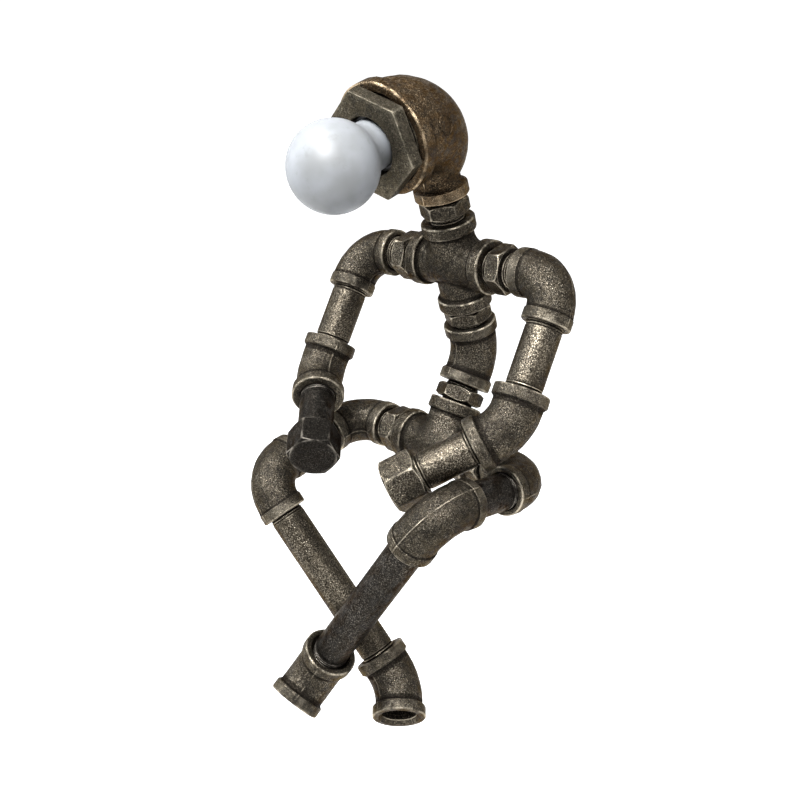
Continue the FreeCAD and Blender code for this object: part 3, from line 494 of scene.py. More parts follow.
def elbow(name, place, reach, run, degrees, body_r, band_r, seed, chamfer=SOCKET_CHAMFER, threads=False):
    """A cast elbow: a beaded socket at each end and a bend between them, hollow all the way through."""
    sweep = math.radians(degrees)
    at, length = bend_path(reach, run, sweep)
    angles = mould_angles(ELBOW_SEGMENTS)
    band = band_profile(body_r, band_r, BAND_WIDTH)
    start = band[-1][0]
    steps = int((length - 2.0 * start) / ELBOW_RING_STEP)
    outside = list(band)
    outside += [(start + (length - 2.0 * start) * i / steps, body_r) for i in range(1, steps)]
    outside += [(length - d, r) for d, r in reversed(band)]
    rings = []
    for distance, radius in outside:
        centre, heading = at(distance)
        edge = min(distance, length - distance)
        seam = smooth_step((edge - SEAM_START) / SEAM_GROWTH)
        rings.append(cast_ring(centre, heading, radius, angles, seed, seam))
    outlet = np.array([math.cos(sweep), math.sin(sweep)])
    for depth, radius in socket_profile(chamfer, threads):
        rings.append(ring_points(outlet * (reach - depth), sweep, radius, angles))
    inner_at, inner_length = bend_path(reach, reach - SOCKET_DEPTH, sweep)
    water = inner_length - 2.0 * SOCKET_DEPTH
    for i in range(WATER_RINGS - 1, 0, -1):
        centre, heading = inner_at(SOCKET_DEPTH + water * i / WATER_RINGS)
        rings.append(ring_points(centre, heading, WATER_R, angles))
    for depth, radius in reversed(socket_profile(chamfer, False)):
        rings.append(ring_points((depth - reach, 0.0), 0.0, radius, angles))
    return add_mesh(name, np.concatenate(rings), ring_faces(len(rings), ELBOW_SEGMENTS), place)


def cells_beside(spots, axis, j, k):
    """The cells on one side of grid edges that run along an axis."""
    cell = spots.copy()
    cell[:, (axis + 1) % 3] -= j
    cell[:, (axis + 2) % 3] -= k
    return cell


def surface_net(field, low, high, step):
    """A mesh of quads on the zero surface of a field, with its points drawn exactly onto it."""
    lines = [np.arange(a, b + step, step) for a, b in zip(low, high)]
    grid = np.stack(np.meshgrid(*lines, indexing="ij"), -1)
    values = field(grid.reshape(-1, 3)).reshape(grid.shape[:3])
    inside = values < 0.0
    cells = tuple(n - 1 for n in values.shape)
    total = np.zeros(cells + (3,))
    count = np.zeros(cells)
    crossings = []
    for axis in range(3):
        near = tuple(slice(None, -1) if k == axis else slice(None) for k in range(3))
        far = tuple(slice(1, None) if k == axis else slice(None) for k in range(3))
        spots = np.argwhere(inside[near] != inside[far])
        a = values[near][tuple(spots.T)]
        b = values[far][tuple(spots.T)]
        points = grid[near][tuple(spots.T)].copy()
        points[:, axis] += a / (a - b) * step
        crossings.append((spots, a < 0.0))
        for j, k in ((0, 0), (0, 1), (1, 0), (1, 1)):
            cell = cells_beside(spots, axis, j, k)
            good = np.all((cell >= 0) & (cell < cells), axis=1)
            where = tuple(cell[good].T)
            np.add.at(total, where, points[good])
            np.add.at(count, where, 1.0)
    used = count > 0
    index = np.full(cells, -1)
    index[used] = np.arange(used.sum())
    points = total[used] / count[used][:, None]
    faces = []
    for axis, (spots, outward) in enumerate(crossings):
        around = ((1, 1), (0, 1), (0, 0), (1, 0))
        quads = np.stack([index[tuple(cells_beside(spots, axis, j, k).T)] for j, k in around], 1)
        faces.append(np.where(outward[:, None], quads, quads[:, ::-1]))
    faces = np.concatenate(faces)
    a, b = np.concatenate([faces[:, [0, 1]], faces[:, [1, 2]], faces[:, [2, 3]], faces[:, [3, 0]]]).T
    size = len(points)
    links = np.bincount(a, minlength=size) + np.bincount(b, minlength=size)
    for _ in range(NET_ROUNDS):
        points = drawn_to(field, points)
        spread = np.zeros_like(points)
        for k in range(3):
            spread[:, k] = np.bincount(a, points[b, k], size)
            spread[:, k] += np.bincount(b, points[a, k], size)
        points = (1.0 - NET_EASE) * points + NET_EASE * spread / links[:, None]
    return drawn_to(field, drawn_to(field, points)), faces.tolist()


def drawn_to(field, points):
    """The points moved along the field's slope to where it is zero."""
    value = field(points)
    slope = np.empty_like(points)
    for k in range(3):
        shift = np.zeros(3)
        shift[k] = NET_NUDGE
        slope[:, k] = (field(points + shift) - field(points - shift)) / (2.0 * NET_NUDGE)
    steep = np.maximum((slope ** 2).sum(1), NET_LEAST_SLOPE)
    move = np.clip(value / steep, -NET_LONGEST_MOVE, NET_LONGEST_MOVE)
    return points - slope * move[:, None]


def smooth_least(a, b, width):
    """The lesser of two distances, with the corner between them rounded."""
    h = np.maximum(width - np.abs(a - b), 0.0) / width
    return np.minimum(a, b) - h * h * width * 0.25


def rounded_drum(along, radial, middle, half, radius, rounding):
    """The distance to a short cylinder with rounded rims."""
    q = np.stack([radial - (radius - rounding), np.abs(along - middle) - (half - rounding)], 1)
    outside = np.linalg.norm(np.maximum(q, 0.0), axis=1)
    return outside + np.minimum(q.max(1), 0.0) - rounding


def branch_fitting(name, place, turns, seed, boss=False):
    """A cast tee or cross, its arms at these turns in the XY plane."""
    arms = [np.array([math.cos(math.radians(t)), math.sin(math.radians(t)), 0.0]) for t in turns]

    def field(points):
        outer = np.inf
        hollow = np.inf
        last = arms[0]
        for arm in arms:
            along = points @ arm
            radial = np.sqrt(np.maximum((points ** 2).sum(1) - along ** 2, 0.0))
            back = np.minimum(along, 0.0)
            body = np.maximum(np.sqrt(radial ** 2 + back ** 2) - TEE_R, along - TEE_REACH + TEE_EDGE)
            half_band = BAND_WIDTH / 2.0
            band = rounded_drum(along, radial, TEE_REACH - half_band, half_band, TEE_BAND_R, TEE_EDGE)
            in_line = np.dot(arm, last) < -0.9
            outer = smooth_least(outer, body, 0.01 if in_line else CROTCH)
            outer = smooth_least(outer, band, BAND_BLEND)
            depth = TEE_REACH - along
            socket = np.maximum(radial - SOCKET_R, depth - SOCKET_DEPTH)
            cone = np.maximum(radial - SOCKET_R - SOCKET_CHAMFER + depth, depth - SOCKET_CHAMFER)
            water = np.maximum(radial - WATER_R, -along)
            hollow = np.minimum(hollow, np.minimum(np.minimum(socket, cone), water))
            last = arm
        if boss:
            radial = np.hypot(points[:, 0], points[:, 1])
            half_boss = BOSS_FACE / 2.0
            stud = rounded_drum(points[:, 2], radial, -half_boss, half_boss, BOSS_R, BOSS_ROUNDING)
            outer = smooth_least(outer, stud, BAND_BLEND)
            hollow = np.minimum(hollow, np.maximum(radial - GLAND_HOLE_R, points[:, 2]))
        outer = outer - seam_rise(points) - lumps(points, seed, LUMP_SIZE, LUMP_HEIGHT)
        return np.maximum(outer, -hollow)

    def edge(axis, sign):
        """How far the net goes that way along an axis: past an arm's mouth, or else past the bands."""
        armed = any(arm[axis] * sign > 0.5 for arm in arms)
        return sign * ((TEE_REACH if armed else TEE_BAND_R) + NET_MARGIN)

    low = [edge(axis, -1.0) for axis in range(3)]
    high = [edge(axis, 1.0) for axis in range(3)]
    points, faces = surface_net(field, low, high, NET_STEP)
    return add_mesh(name, points, faces, place)


def lathe(name, place, profile, segments, sharp_angle=SHARP_ANGLE, corner_turn=0.0):
    """A turned piece from rings round X; a row is its X, its radius and the flats of a hexagon or 0."""
    angles = np.arange(segments) / segments * TAU
    rings = []
    for x, radius, flats in profile:
        radii = np.full(segments, float(radius))
        if flats:
            radii = np.minimum(hexagon_radius(angles, flats, corner_turn), radii)
        rings.append(ring_points((x, 0.0), 0.0, radii, angles))
    return add_mesh(name, np.concatenate(rings), ring_faces(len(rings), segments), place, sharp_angle)


def hexagon_radius(angles, flats, turn_degrees):
    """The outside of a hexagon with slightly rounded corners, a corner at +Y turned by so many degrees."""
    total = np.zeros_like(angles)
    for side in range(6):
        normal = math.radians(turn_degrees + 30.0 + side * 60.0)
        total += np.maximum(np.cos(angles - normal), 0.0) ** HEX_SHARPNESS
    return flats / 2.0 / total ** (1.0 / HEX_SHARPNESS)


def thread_profile(start, end, crest, rising=0):
    """Rings of a thread from start to end; rising 1 or -1 runs it out towards the end or the start."""
    rows = []
    count = max(int(abs(end - start) / THREAD_PITCH * THREAD_RINGS), 1)
    for i in range(count + 1):
        x = start + (end - start) * i / count
        depth = THREAD_DEPTH * wave(x / THREAD_PITCH)
        if rising:
            share = i / count if rising > 0 else 1.0 - i / count
            depth *= 1.0 - share ** 2
        rows.append((x, crest - depth, 0.0))
    return rows


def threaded_ends(length, bore_r, middle):
    """The rows of a hollow piece with bevelled ends, round the rows between them."""
    first = [(0.0, THREAD_CREST - THREAD_END_DROP, 0.0)]
    last = [(length, THREAD_CREST - THREAD_END_DROP, 0.0), (length, bore_r, 0.0), (0.0, bore_r, 0.0)]
    return first + middle + last


def nipple(name, place, gap, hexagon_length, turn=NIPPLE_TURN, share=NIPPLE_START_SHARE):
    """A threaded nipple with a hexagon between its two ends."""
    length = gap + 2.0 * ENGAGED
    start = ENGAGED + (gap - hexagon_length) * share
    end = start + hexagon_length
    relief_r = THREAD_CREST - RELIEF_DROP
    root_r = THREAD_CREST - HEX_ROOT_DROP
    rows = thread_profile(THREAD_END, start - THREAD_STOP, THREAD_CREST)
    rows += [(start - RELIEF_WIDTH, relief_r, 0.0), (start, root_r, 0.0)]
    rows += hexagon_rows(start, end, NIPPLE_FLATS)
    rows += [(end, root_r, 0.0), (end + RELIEF_WIDTH, relief_r, 0.0)]
    rows += thread_profile(end + THREAD_STOP, length - THREAD_END, THREAD_CREST)
    rows = threaded_ends(length, NIPPLE_BORE_R, rows)
    return lathe(name, place, rows, HEX_SEGMENTS, corner_turn=turn)


def mirrored_hexagon(rows, start, end, flats, eighths):
    """A whole hexagon's rings from those of its first end, with its middle ones at so many eighths."""
    middle = [(start + (end - start) * k / 8.0, flats / math.sqrt(3.0), flats) for k in eighths]
    return rows + middle + [(start + end - x, radius, f) for x, radius, f in reversed(rows)]


def hexagon_rows(start, end, flats):
    """A hexagon's rings, its corners turned down at both ends as a lathe leaves them."""
    face = flats / 2.0
    rise = flats / math.sqrt(3.0) - face
    rows = [(start + back, face - drop, flats) for back, drop in HEX_BEVEL]
    for i in range(HEX_CHAMFER_STEPS + 1):
        share = i / HEX_CHAMFER_STEPS
        back = HEX_CHAMFER_START + rise / HEX_CHAMFER_SLOPE * share
        rows.append((start + back, face + rise * share + HAIR, flats))
    return mirrored_hexagon(rows, start, end, flats, (3, 4, 5))


def sharp_hexagon_rows(start, end, flats):
    """A hexagon's rings where its corners are left full, with its edges a little rounded."""
    rows = []
    for i in range(ROUNDING_STEPS + 1):
        turn = i / ROUNDING_STEPS * QUARTER
        narrowed = flats - 2.0 * HEX_ROUNDING * (1.0 - math.sin(turn))
        rows.append((start + HEX_ROUNDING * (1.0 - math.cos(turn)), flats / math.sqrt(3.0), narrowed))
    return mirrored_hexagon(rows, start, end, flats, (2, 4, 6))


def cap(name, place, turn):
    """A hexagon cap screwed over the end of a forearm."""
    rows = [(0.0, SOCKET_R + SOCKET_CHAMFER, 0.0)] + hexagon_rows(0.0, CAP_LENGTH, CAP_FLATS)
    for radius in (CAP_FLATS / 2.0 - CAP_FACE_EDGE, CAP_FACE_MIDDLE_R, CAP_AXIS_R):
        rows.append((CAP_LENGTH, radius, 0.0))
    inside = CAP_LENGTH - CAP_WALL
    rows += [(inside, CAP_AXIS_R, 0.0), (inside, SOCKET_R, 0.0), (SOCKET_CHAMFER, SOCKET_R, 0.0)]
    return lathe(name, place, rows, HEX_SEGMENTS, corner_turn=turn)


def pipe(name, place, gap):
    """A length of pipe with a tapering thread at both ends that runs out just beyond the fittings."""
    length = gap + 2.0 * ENGAGED
    plain = ENGAGED + THREAD_RUNOUT
    rows = thread_profile(THREAD_END, ENGAGED, THREAD_CREST)
    rows += thread_profile(ENGAGED, plain, PIPE_R, 1)
    steps = int((length - 2.0 * plain) / PIPE_RING_STEP)
    rows += [(plain + (length - 2.0 * plain) * i / steps, PIPE_R, 0.0) for i in range(1, steps)]
    rows += thread_profile(length - plain, length - ENGAGED, PIPE_R, -1)
    rows += thread_profile(length - ENGAGED, length - THREAD_END, THREAD_CREST)
    return lathe(name, place, threaded_ends(length, PIPE_BORE_R, rows), PIPE_SEGMENTS)


def through_three(values, share):
    """A smooth curve through three values, at the start, halfway and the end."""
    first, middle, last = values
    start = first * (1.0 - share) * (1.0 - 2.0 * share)
    return start + 4.0 * middle * share * (1.0 - share) + last * share * (2.0 * share - 1.0)


def head_ring(share, inset=0.0):
    """The head's bend at a share of its quarter turn: the middle, the heading and the radius."""
    heel = through_three(BEND_HEEL, share) - inset
    toe = through_three(BEND_TOE, share) + inset
    turn = share * QUARTER
    middle = (heel + toe) / 2.0
    centre = (HEAD_BEND_FRONT - middle * math.sin(turn), middle * math.cos(turn) - HEAD_BEND_DROP)
    return centre, turn + math.pi, (heel - toe) / 2.0


def head_outside():
    """The rings of the head's outside, from its mouth round to its neck: middle, heading and radius."""
    rings = []
    for back, radius in band_profile(HEAD_R, **HEAD_RIM):
        rings.append(((HEAD_MOUTH - back, 0.0), math.pi, radius))
    start = rings[-1][0][0]
    for i in range(1, HEAD_STRAIGHT_RINGS):
        rings.append(((start + (HEAD_BEND_FRONT - start) * i / HEAD_STRAIGHT_RINGS, 0.0), math.pi, HEAD_R))
    for i in range(HEAD_BEND_RINGS + 1):
        rings.append(head_ring(i / HEAD_BEND_RINGS))
    straight = HEAD_NECK_REACH - HEAD_BEND_DROP
    neck = band_profile(HEAD_NECK_R, TEE_BAND_R, BAND_WIDTH)
    rings.append(((0.0, -HEAD_BEND_DROP - (straight - neck[-1][0]) * 0.5), 3.0 * QUARTER, HEAD_NECK_R))
    for back, radius in reversed(neck):
        rings.append(((0.0, back - HEAD_NECK_REACH), 3.0 * QUARTER, radius))
    return rings


def head_casting(name, place, seed):
    """The large elbow that is the head, hollow from its mouth to its neck."""
    angles = mould_angles(HEAD_SEGMENTS)
    rings = []
    for centre, heading, radius in head_outside():
        seam = smooth_step((HEAD_MOUTH - HEAD_SEAM_START - centre[0]) / HEAD_SEAM_GROWTH)
        rings.append(cast_ring(centre, heading, radius, angles, seed, seam))
    for depth, radius in reversed(socket_profile(SOCKET_CHAMFER, False)):
        if depth < SOCKET_DEPTH - 1.0:
            rings.append(ring_points((0.0, depth - HEAD_NECK_REACH), 3.0 * QUARTER, radius, angles))
    for i in range(HEAD_CAVITY_RINGS, -1, -1):
        centre, heading, radius = head_ring(i / HEAD_CAVITY_RINGS, HEAD_WALL)
        rings.append(ring_points(centre, heading, max(min(radius, HEAD_CAVITY_R), WATER_R), angles))
    for back, radius in ((HEAD_CHAMFER, HEAD_CAVITY_R), (0.0, HEAD_CAVITY_R + HEAD_CHAMFER)):
        rings.append(ring_points((HEAD_MOUTH - back, 0.0), math.pi, radius, angles))
    return add_mesh(name, np.concatenate(rings), ring_faces(len(rings), HEAD_SEGMENTS), place)


def head_mark(name, place):
    """A plain raised ring that the mould left on the side of the head, laid on its surface."""
    points = []
    for i in range(MARK_STEPS):
        turn = i / MARK_STEPS * TAU
        for k in range(MARK_ACROSS):
            across = k / (MARK_ACROSS - 1)
            lift = math.sin(math.pi * across) * MARK_HEIGHT - MARK_SINK
            radius = MARK_RADIUS + (across - 0.5) * MARK_WIDTH
            centre, heading, size = head_ring(MARK_SHARE + radius * math.cos(turn) / MARK_ARC)
            angle = MARK_ANGLE + radius * math.sin(turn) / size
            points.append(ring_points(centre, heading, size + lift, np.array([angle]))[0])
    return add_mesh(name, np.array(points), ring_faces(MARK_STEPS, MARK_ACROSS), place)


def bushing(name, place):
    """The hexagon bushing in the head's mouth, with its plain bore round the bulb."""
    rows = [(BUSHING_BACK, BUSHING_STEM_R - BUSHING_BEVEL, 0.0)]
    rows += thread_profile(BUSHING_BACK + THREAD_END_DROP, HEAD_MOUTH, BUSHING_STEM_R)
    rows += [(BUSHING_HEX_BACK, BUSHING_STEM_R - BUSHING_RELIEF, 0.0)]
    rows += sharp_hexagon_rows(BUSHING_HEX_BACK, BUSHING_HEX_FRONT, BUSHING_FLATS)
    lip_r = BUSHING_BORE_R + BUSHING_LIP
    rows += [(BUSHING_HEX_FRONT, BUSHING_FLATS / 2.0 - BUSHING_FACE_EDGE, 0.0)]
    rows += [(BUSHING_HEX_FRONT, lip_r, 0.0)]
    for i in range(1, ROUNDING_STEPS + 1):
        turn = i / ROUNDING_STEPS * QUARTER
        x = BUSHING_HEX_FRONT - BUSHING_LIP * (1.0 - math.cos(turn))
        rows.append((x, lip_r - BUSHING_LIP * math.sin(turn), 0.0))
    rows += [(BUSHING_BACK, BUSHING_BORE_R, 0.0)]
    return lathe(name, place, rows, HEX_SEGMENTS * 2, corner_turn=BUSHING_TURN)


def sloped_between(t, first, first_slope, last, last_slope):
    """A curve from one value to another that has these slopes at its ends."""
    start = (2 * t ** 3 - 3 * t ** 2 + 1) * first + (t ** 3 - 2 * t ** 2 + t) * first_slope
    return start + (3 * t ** 2 - 2 * t ** 3) * last + (t ** 3 - t ** 2) * last_slope


def bulb(name, place):
    """The frosted bulb: a neck seated in its cap that swells into the globe, with a thin glass wall."""
    seated = [
        (GLASS_BACK, GLASS_HOLE_R, 0.0),
        (GLASS_BACK, GLASS_SEAT_R - GLASS_EDGE, 0.0),
        (GLASS_BACK + GLASS_EDGE, GLASS_SEAT_R, 0.0),
        (BULB_CAP_FRONT - 0.3, GLASS_SEAT_R, 0.0),
        (BULB_CAP_FRONT, BULB_NECK_R - BULB_NECK_EDGE, 0.0),
        (BULB_CAP_FRONT + BULB_NECK_EDGE, BULB_NECK_R, 0.0),
    ]
    join = math.radians(180.0 - BULB_JOIN)
    join_x = BULB_CENTRE + BULB_R * math.cos(join)
    join_r = BULB_R * math.sin(join)
    start_x = BULB_CAP_FRONT + BULB_NECK_LENGTH
    span = join_x - start_x
    lean = (join_r - BULB_NECK_R) * BULB_NECK_LEAN
    swell = -math.cos(join) / math.sin(join) * span
    shown = []
    for i in range(BULB_NECK_RINGS):
        t = i / BULB_NECK_RINGS
        shown.append((start_x + span * t, sloped_between(t, BULB_NECK_R, lean, join_r, swell), 0.0))
    for i in range(BULB_RINGS):
        turn = join * (1.0 - i / BULB_RINGS)
        shown.append((BULB_CENTRE + BULB_R * math.cos(turn), BULB_R * math.sin(turn), 0.0))
    shown.append((BULB_CENTRE + BULB_R, BULB_AXIS_R, 0.0))
    inner = []
    for x, radius, _ in reversed(shown[2:]):
        thinned = x - GLASS * GLASS_FRONT_SHARE if x > BULB_CENTRE else x
        inner.append((thinned, max(radius - GLASS, BULB_AXIS_R), 0.0))
    inner += [(GLASS_BACK + GLASS, GLASS_SEAT_R - GLASS, 0.0), (GLASS_BACK + GLASS, GLASS_HOLE_R, 0.0)]
    return lathe(name, place, seated + shown + inner, BULB_SEGMENTS, BULB_SHARP_ANGLE)


# how far streaks are drawn out along a pipe
STREAK = 0.6


class Nodes:
    """The nodes of a material or a world, added one after another."""

    def __init__(self, owner):
        owner.use_nodes = True
        self.tree = owner.node_tree

    def node(self, kind, **options):
        made = self.tree.nodes.new("ShaderNode" + kind)
        for key, value in options.items():
            setattr(made, key, value)
        return made

    def feed(self, socket, value):
        if isinstance(value, bpy.types.NodeSocket):
            self.tree.links.new(value, socket)
        else:
            socket.default_value = value

    def made(self, kind, *inputs, **options):
        """A node's outputs, after these inputs have been fed."""
        node = self.node(kind, **options)
        for key, value in inputs:
            self.feed(node.inputs[key], value)
        return node.outputs


class Shader(Nodes):
    """A material round its one surface shader."""

    def __init__(self, name):
        self.material = bpy.data.materials.new(name + "_look")
        super().__init__(self.material)
        self.surface = self.tree.nodes["Principled BSDF"]
        self.place = self.node("TexCoord").outputs["Object"]

    def set(self, **values):
        """Fills the surface's own sockets; an underscore stands for a space in a socket's name."""
        for key, value in values.items():
            self.feed(self.surface.inputs[key.replace("_", " ")], value)

    def noise(self, scale, detail=4.0, roughness=0.55, seed=0.0, stretch=None):
        """Noise with so many features to the metre."""
        place = self.place if stretch is None else self.stretched(stretch)
        inputs = (("Scale", scale), ("Detail", detail), ("Roughness", roughness), ("W", seed))
        return self.made("TexNoise", *inputs, ("Vector", place), noise_dimensions="4D")["Fac"]

    def stretched(self, along):
        """Object coordinates drawn out along a direction, for streaks that run with a pipe."""
        back = tuple(float(-STREAK * v) for v in along)
        along = tuple(float(v) for v in along)
        dot = self.made("VectorMath", (0, self.place), (1, along), operation="DOT_PRODUCT")
        shift = self.made("VectorMath", (0, back), ("Scale", dot["Value"]), operation="SCALE")
        return self.made("VectorMath", (0, self.place), (1, shift["Vector"]), operation="ADD")["Vector"]

    def remap(self, value, low, high, to_low=0.0, to_high=1.0):
        limits = (("From Min", low), ("From Max", high), ("To Min", to_low), ("To Max", to_high))
        return self.made("MapRange", ("Value", value), *limits, interpolation_type="SMOOTHSTEP")["Result"]

    def maths(self, operation, a, b):
        clamp = operation != "SUBTRACT"
        return self.made("Math", (0, a), (1, b), operation=operation, use_clamp=clamp)["Value"]

    def mixed(self, share, a, b):
        a, b = (v if isinstance(v, bpy.types.NodeSocket) else (*v, 1.0) for v in (a, b))
        return self.made("Mix", ("Factor", share), (6, a), (7, b), data_type="RGBA")[2]

    def bump(self, height, strength, distance, under=None):
        inputs = [("Strength", strength), ("Distance", distance), ("Height", height)]
        if under is not None:
            inputs.append(("Normal", under))
        return self.made("Bump", *inputs)["Normal"]

    def attribute(self, name):
        return self.node("Attribute", attribute_name=name).outputs["Fac"]


# where the antiqued metal changes: the noise's low and high limits, and what they become
BROWN = (0.41, 0.64)
PATCHES = (0.45, 0.62)
PATCHY = (0.34, 0.68, 0.2, 1.0)
FLECK_AND_GLINT_LIMITS = (0.52, 0.64)
RUBBED = (0.4, 0.62, 0.05, 1.0)
METAL = (0.36, 0.6, 0.6, 1.0)
DULLNESS = (0.35, 0.65)
GRIME_AND_SHADE_MOTTLE = (0.3, 0.7, 1.0, 0.75)
# and the curve of the surface, per millimetre, at which wear and the grime with painted shade start and are
# full
WORN = (0.07, 0.28)
HOLLOWS = (-0.002, -0.03)
CREASES = (-0.02, -0.12)
# the share of bright flecks, partly painted glints, outside the patches, what worn edges take off the
# roughness, and the look of the grime with painted shade
LONE_FLECKS_AND_GLINTS = 0.12
EDGE_GLOSS = 0.08
GRIME_AND_SHADE_ROUGHNESS = 0.3
GRIME_AND_SHADE_COLOUR = (0.006, 0.005, 0.004)


def bronze(name, tones, amount, rough=(0.26, 0.44), grain=0.8, streaks=None, seed=0.0, grime_and_shade=0.92, worn=0.6):
    """Antiqued iron: a dark ground, brown over it, speckles of rubbed metal, bright flecks that are partly
    painted glints, bright worn edges, and grime with painted shade in hollows and creases.
    """
    hollow, body, rubbed, bright = tones
    s = Shader(name)
    clouds = s.noise(60.0, 3.0, 0.55, seed, streaks)
    blotches = s.noise(260.0, 5.0, 0.7, seed + 3.0, streaks)
    speckle = s.noise(1100.0, 4.0, 0.75, seed + 7.0)
    sand = s.noise(2300.0, 2.0, 0.6, seed + 11.0)
    rub = s.noise(110.0, 3.0, 0.6, seed + 13.0)
    colour = s.mixed(s.remap(blotches, *BROWN), hollow, body)
    patches = s.maths("MULTIPLY", s.remap(speckle, *PATCHES), s.remap(clouds, *PATCHY))
    colour = s.mixed(s.maths("MULTIPLY", patches, amount), colour, rubbed)
    # bright flecks: partly rubbed metal, partly painted glints of light
    flecks_and_glints = s.maths("MULTIPLY", s.remap(sand, *FLECK_AND_GLINT_LIMITS), s.maths("ADD", patches, LONE_FLECKS_AND_GLINTS))
    colour = s.mixed(s.maths("MULTIPLY", flecks_and_glints, amount), colour, bright)
    edge = s.remap(s.attribute("wear"), *WORN)
    edge = s.maths("MULTIPLY", edge, s.remap(rub, *RUBBED))
    colour = s.mixed(s.maths("MULTIPLY", edge, worn), colour, bright)
    # grime and painted shade: hollows and creases are darkened towards near-black, mottled a little
    grime_and_shade_mask = s.remap(s.attribute("grime_and_shade"), *HOLLOWS)
    grime_and_shade_mask = s.maths("MAXIMUM", grime_and_shade_mask, s.remap(s.attribute("wear"), *CREASES))
    grime_and_shade_mask = s.maths("MULTIPLY", grime_and_shade_mask, s.remap(speckle, *GRIME_AND_SHADE_MOTTLE))
    colour = s.mixed(s.maths("MULTIPLY", grime_and_shade_mask, grime_and_shade), colour, GRIME_AND_SHADE_COLOUR)
    roughness = s.remap(speckle, *DULLNESS, rough[1], rough[0])
    roughness = s.maths("SUBTRACT", roughness, s.maths("MULTIPLY", edge, EDGE_GLOSS))
    roughness = s.maths("ADD", roughness, s.maths("MULTIPLY", grime_and_shade_mask, GRIME_AND_SHADE_ROUGHNESS))
    skin = s.bump(s.noise(420.0, 3.0, 0.55, seed + 5.0), 0.5, 0.0008)
    s.set(Base_Color=colour, Metallic=s.remap(blotches, *METAL), Roughness=roughness)
    s.set(Specular_IOR_Level=0.25, Specular_Tint=(0.45, 0.4, 0.33, 1.0))
    s.set(Normal=s.bump(speckle, grain, 0.0006, skin))
    return s.material


def glass_skin():
    """Frosted white glass, faintly clouded and smudged, with a soft gloss."""
    s = Shader("frosted_glass")
    clouds = s.noise(45.0, 3.0, 0.5, 2.0)
    smudge = s.noise(160.0, 5.0, 0.65, 5.0)
    colour = s.mixed(s.remap(clouds, 0.35, 0.68), (0.16, 0.163, 0.164), (0.21, 0.217, 0.227))
    colour = s.mixed(s.remap(smudge, 0.56, 0.74, 0.0, 0.5), colour, (0.13, 0.13, 0.125))
    s.set(Base_Color=colour, Roughness=s.remap(smudge, 0.4, 0.7, 0.42, 0.55))
    s.set(Subsurface_Weight=0.25, Subsurface_Radius=(0.004, 0.004, 0.004))
    s.set(Coat_Weight=0.08, Coat_Roughness=0.3)
    s.set(Specular_IOR_Level=0.4, IOR=1.5, Normal=s.bump(s.noise(1500.0, 2.0), 0.08, 0.0001))
    return s.material


def plain_skin(name, dark, light, metallic, rough, scale=400.0, grain=0.2, transmission=0.0):
    """The small pieces inside: two shades of one colour, with their own gloss and a fine grain."""
    s = Shader(name)
    cloud = s.noise(scale, 4.0, 0.6)
    s.set(Base_Color=s.mixed(s.remap(cloud, *DULLNESS), dark, light), Metallic=metallic)
    s.set(Transmission_Weight=transmission, Roughness=s.remap(cloud, *DULLNESS, rough * 0.85, rough * 1.15))
    s.set(Normal=s.bump(s.noise(scale * 5.0, 2.0), grain, 0.0001))
    return s.material


# the colours of hollows, of the body, of rubbed patches and of bright metal, the last also painted as glints
# in the flecks
CAST = ((0.004, 0.0035, 0.003), (0.024, 0.02, 0.0145), (0.125, 0.105, 0.078), (0.55, 0.48, 0.37))
WARM = ((0.01, 0.007, 0.004), (0.048, 0.03, 0.016), (0.14, 0.093, 0.052), (0.6, 0.46, 0.3))
DARK = ((0.003, 0.0028, 0.0025), (0.009, 0.008, 0.007), (0.032, 0.028, 0.024), (0.3, 0.27, 0.23))
IRON = ((0.01, 0.009, 0.006), (0.055, 0.047, 0.035), (0.16, 0.138, 0.104), (0.42, 0.37, 0.28))
PIPE = ((0.005, 0.004, 0.003), (0.028, 0.023, 0.0165), (0.14, 0.118, 0.088), (0.55, 0.48, 0.37))

FINISHES = {
    "antique_bronze": bronze("antique_bronze", CAST, 0.6),
    # the head keeps less grime and painted shade in its creases
    "warm_bronze": bronze("warm_bronze", WARM, 0.75, rough=(0.26, 0.42), seed=20.0, grime_and_shade=0.45, worn=0.8),
    "dark_iron": bronze("dark_iron", IRON, 0.8, rough=(0.34, 0.5), grain=0.9, seed=40.0, worn=0.4),
    "dull_bronze": bronze("dull_bronze", DARK, 0.5, rough=(0.42, 0.6), grain=0.5, seed=80.0),
    "worn_bronze": bronze("worn_bronze", CAST, 0.8, seed=60.0),
    "frosted_glass": glass_skin(),
    "clear_glass": plain_skin(
        "clear_glass", (0.8, 0.82, 0.84), (0.9, 0.91, 0.92), 0.0, 0.08, transmission=0.9,
    ),
    "brass_sheet": plain_skin("brass", (0.45, 0.31, 0.12), (0.66, 0.48, 0.22), 1.0, 0.3),
    "black_phenolic": plain_skin("phenolic", (0.01, 0.009, 0.008), (0.025, 0.022, 0.02), 0.0, 0.4, 150.0),
    "black_glass": plain_skin("black_glass", (0.008, 0.008, 0.008), (0.02, 0.02, 0.022), 0.0, 0.15),
    "zinc_screw": plain_skin("zinc", (0.4, 0.4, 0.41), (0.6, 0.6, 0.6), 1.0, 0.32),
    "black_rubber": plain_skin("rubber", (0.012, 0.012, 0.012), (0.03, 0.03, 0.03), 0.0, 0.7, grain=0.4),
}
HAND_FINISH = {"left": "worn_bronze", "right": "dull_bronze"}
DARK_PIPES = ("shin_left", "forearm_right", "thigh_left")


def pipe_finish(node):
    """A pipe's own finish, with streaks that run along it."""
    tones = DARK if node in DARK_PIPES else PIPE
    along = SEATS[node][1][0]
    return bronze(node, tones, 0.85, rough=(0.28, 0.44), grain=0.45, streaks=along, seed=len(node) * 1.7)


BODY_OF = {node: body for body, nodes in frame["record"]["behaviour"]["bodies"].items() for node in nodes}


def dress(obj, node, slot_name, material=None):
    """Makes a finished piece stand for a CAD node and move with its body."""
    obj.data.materials.append(material or FINISHES[slot_name])
    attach(obj, BODY_OF[node])
    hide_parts(node)


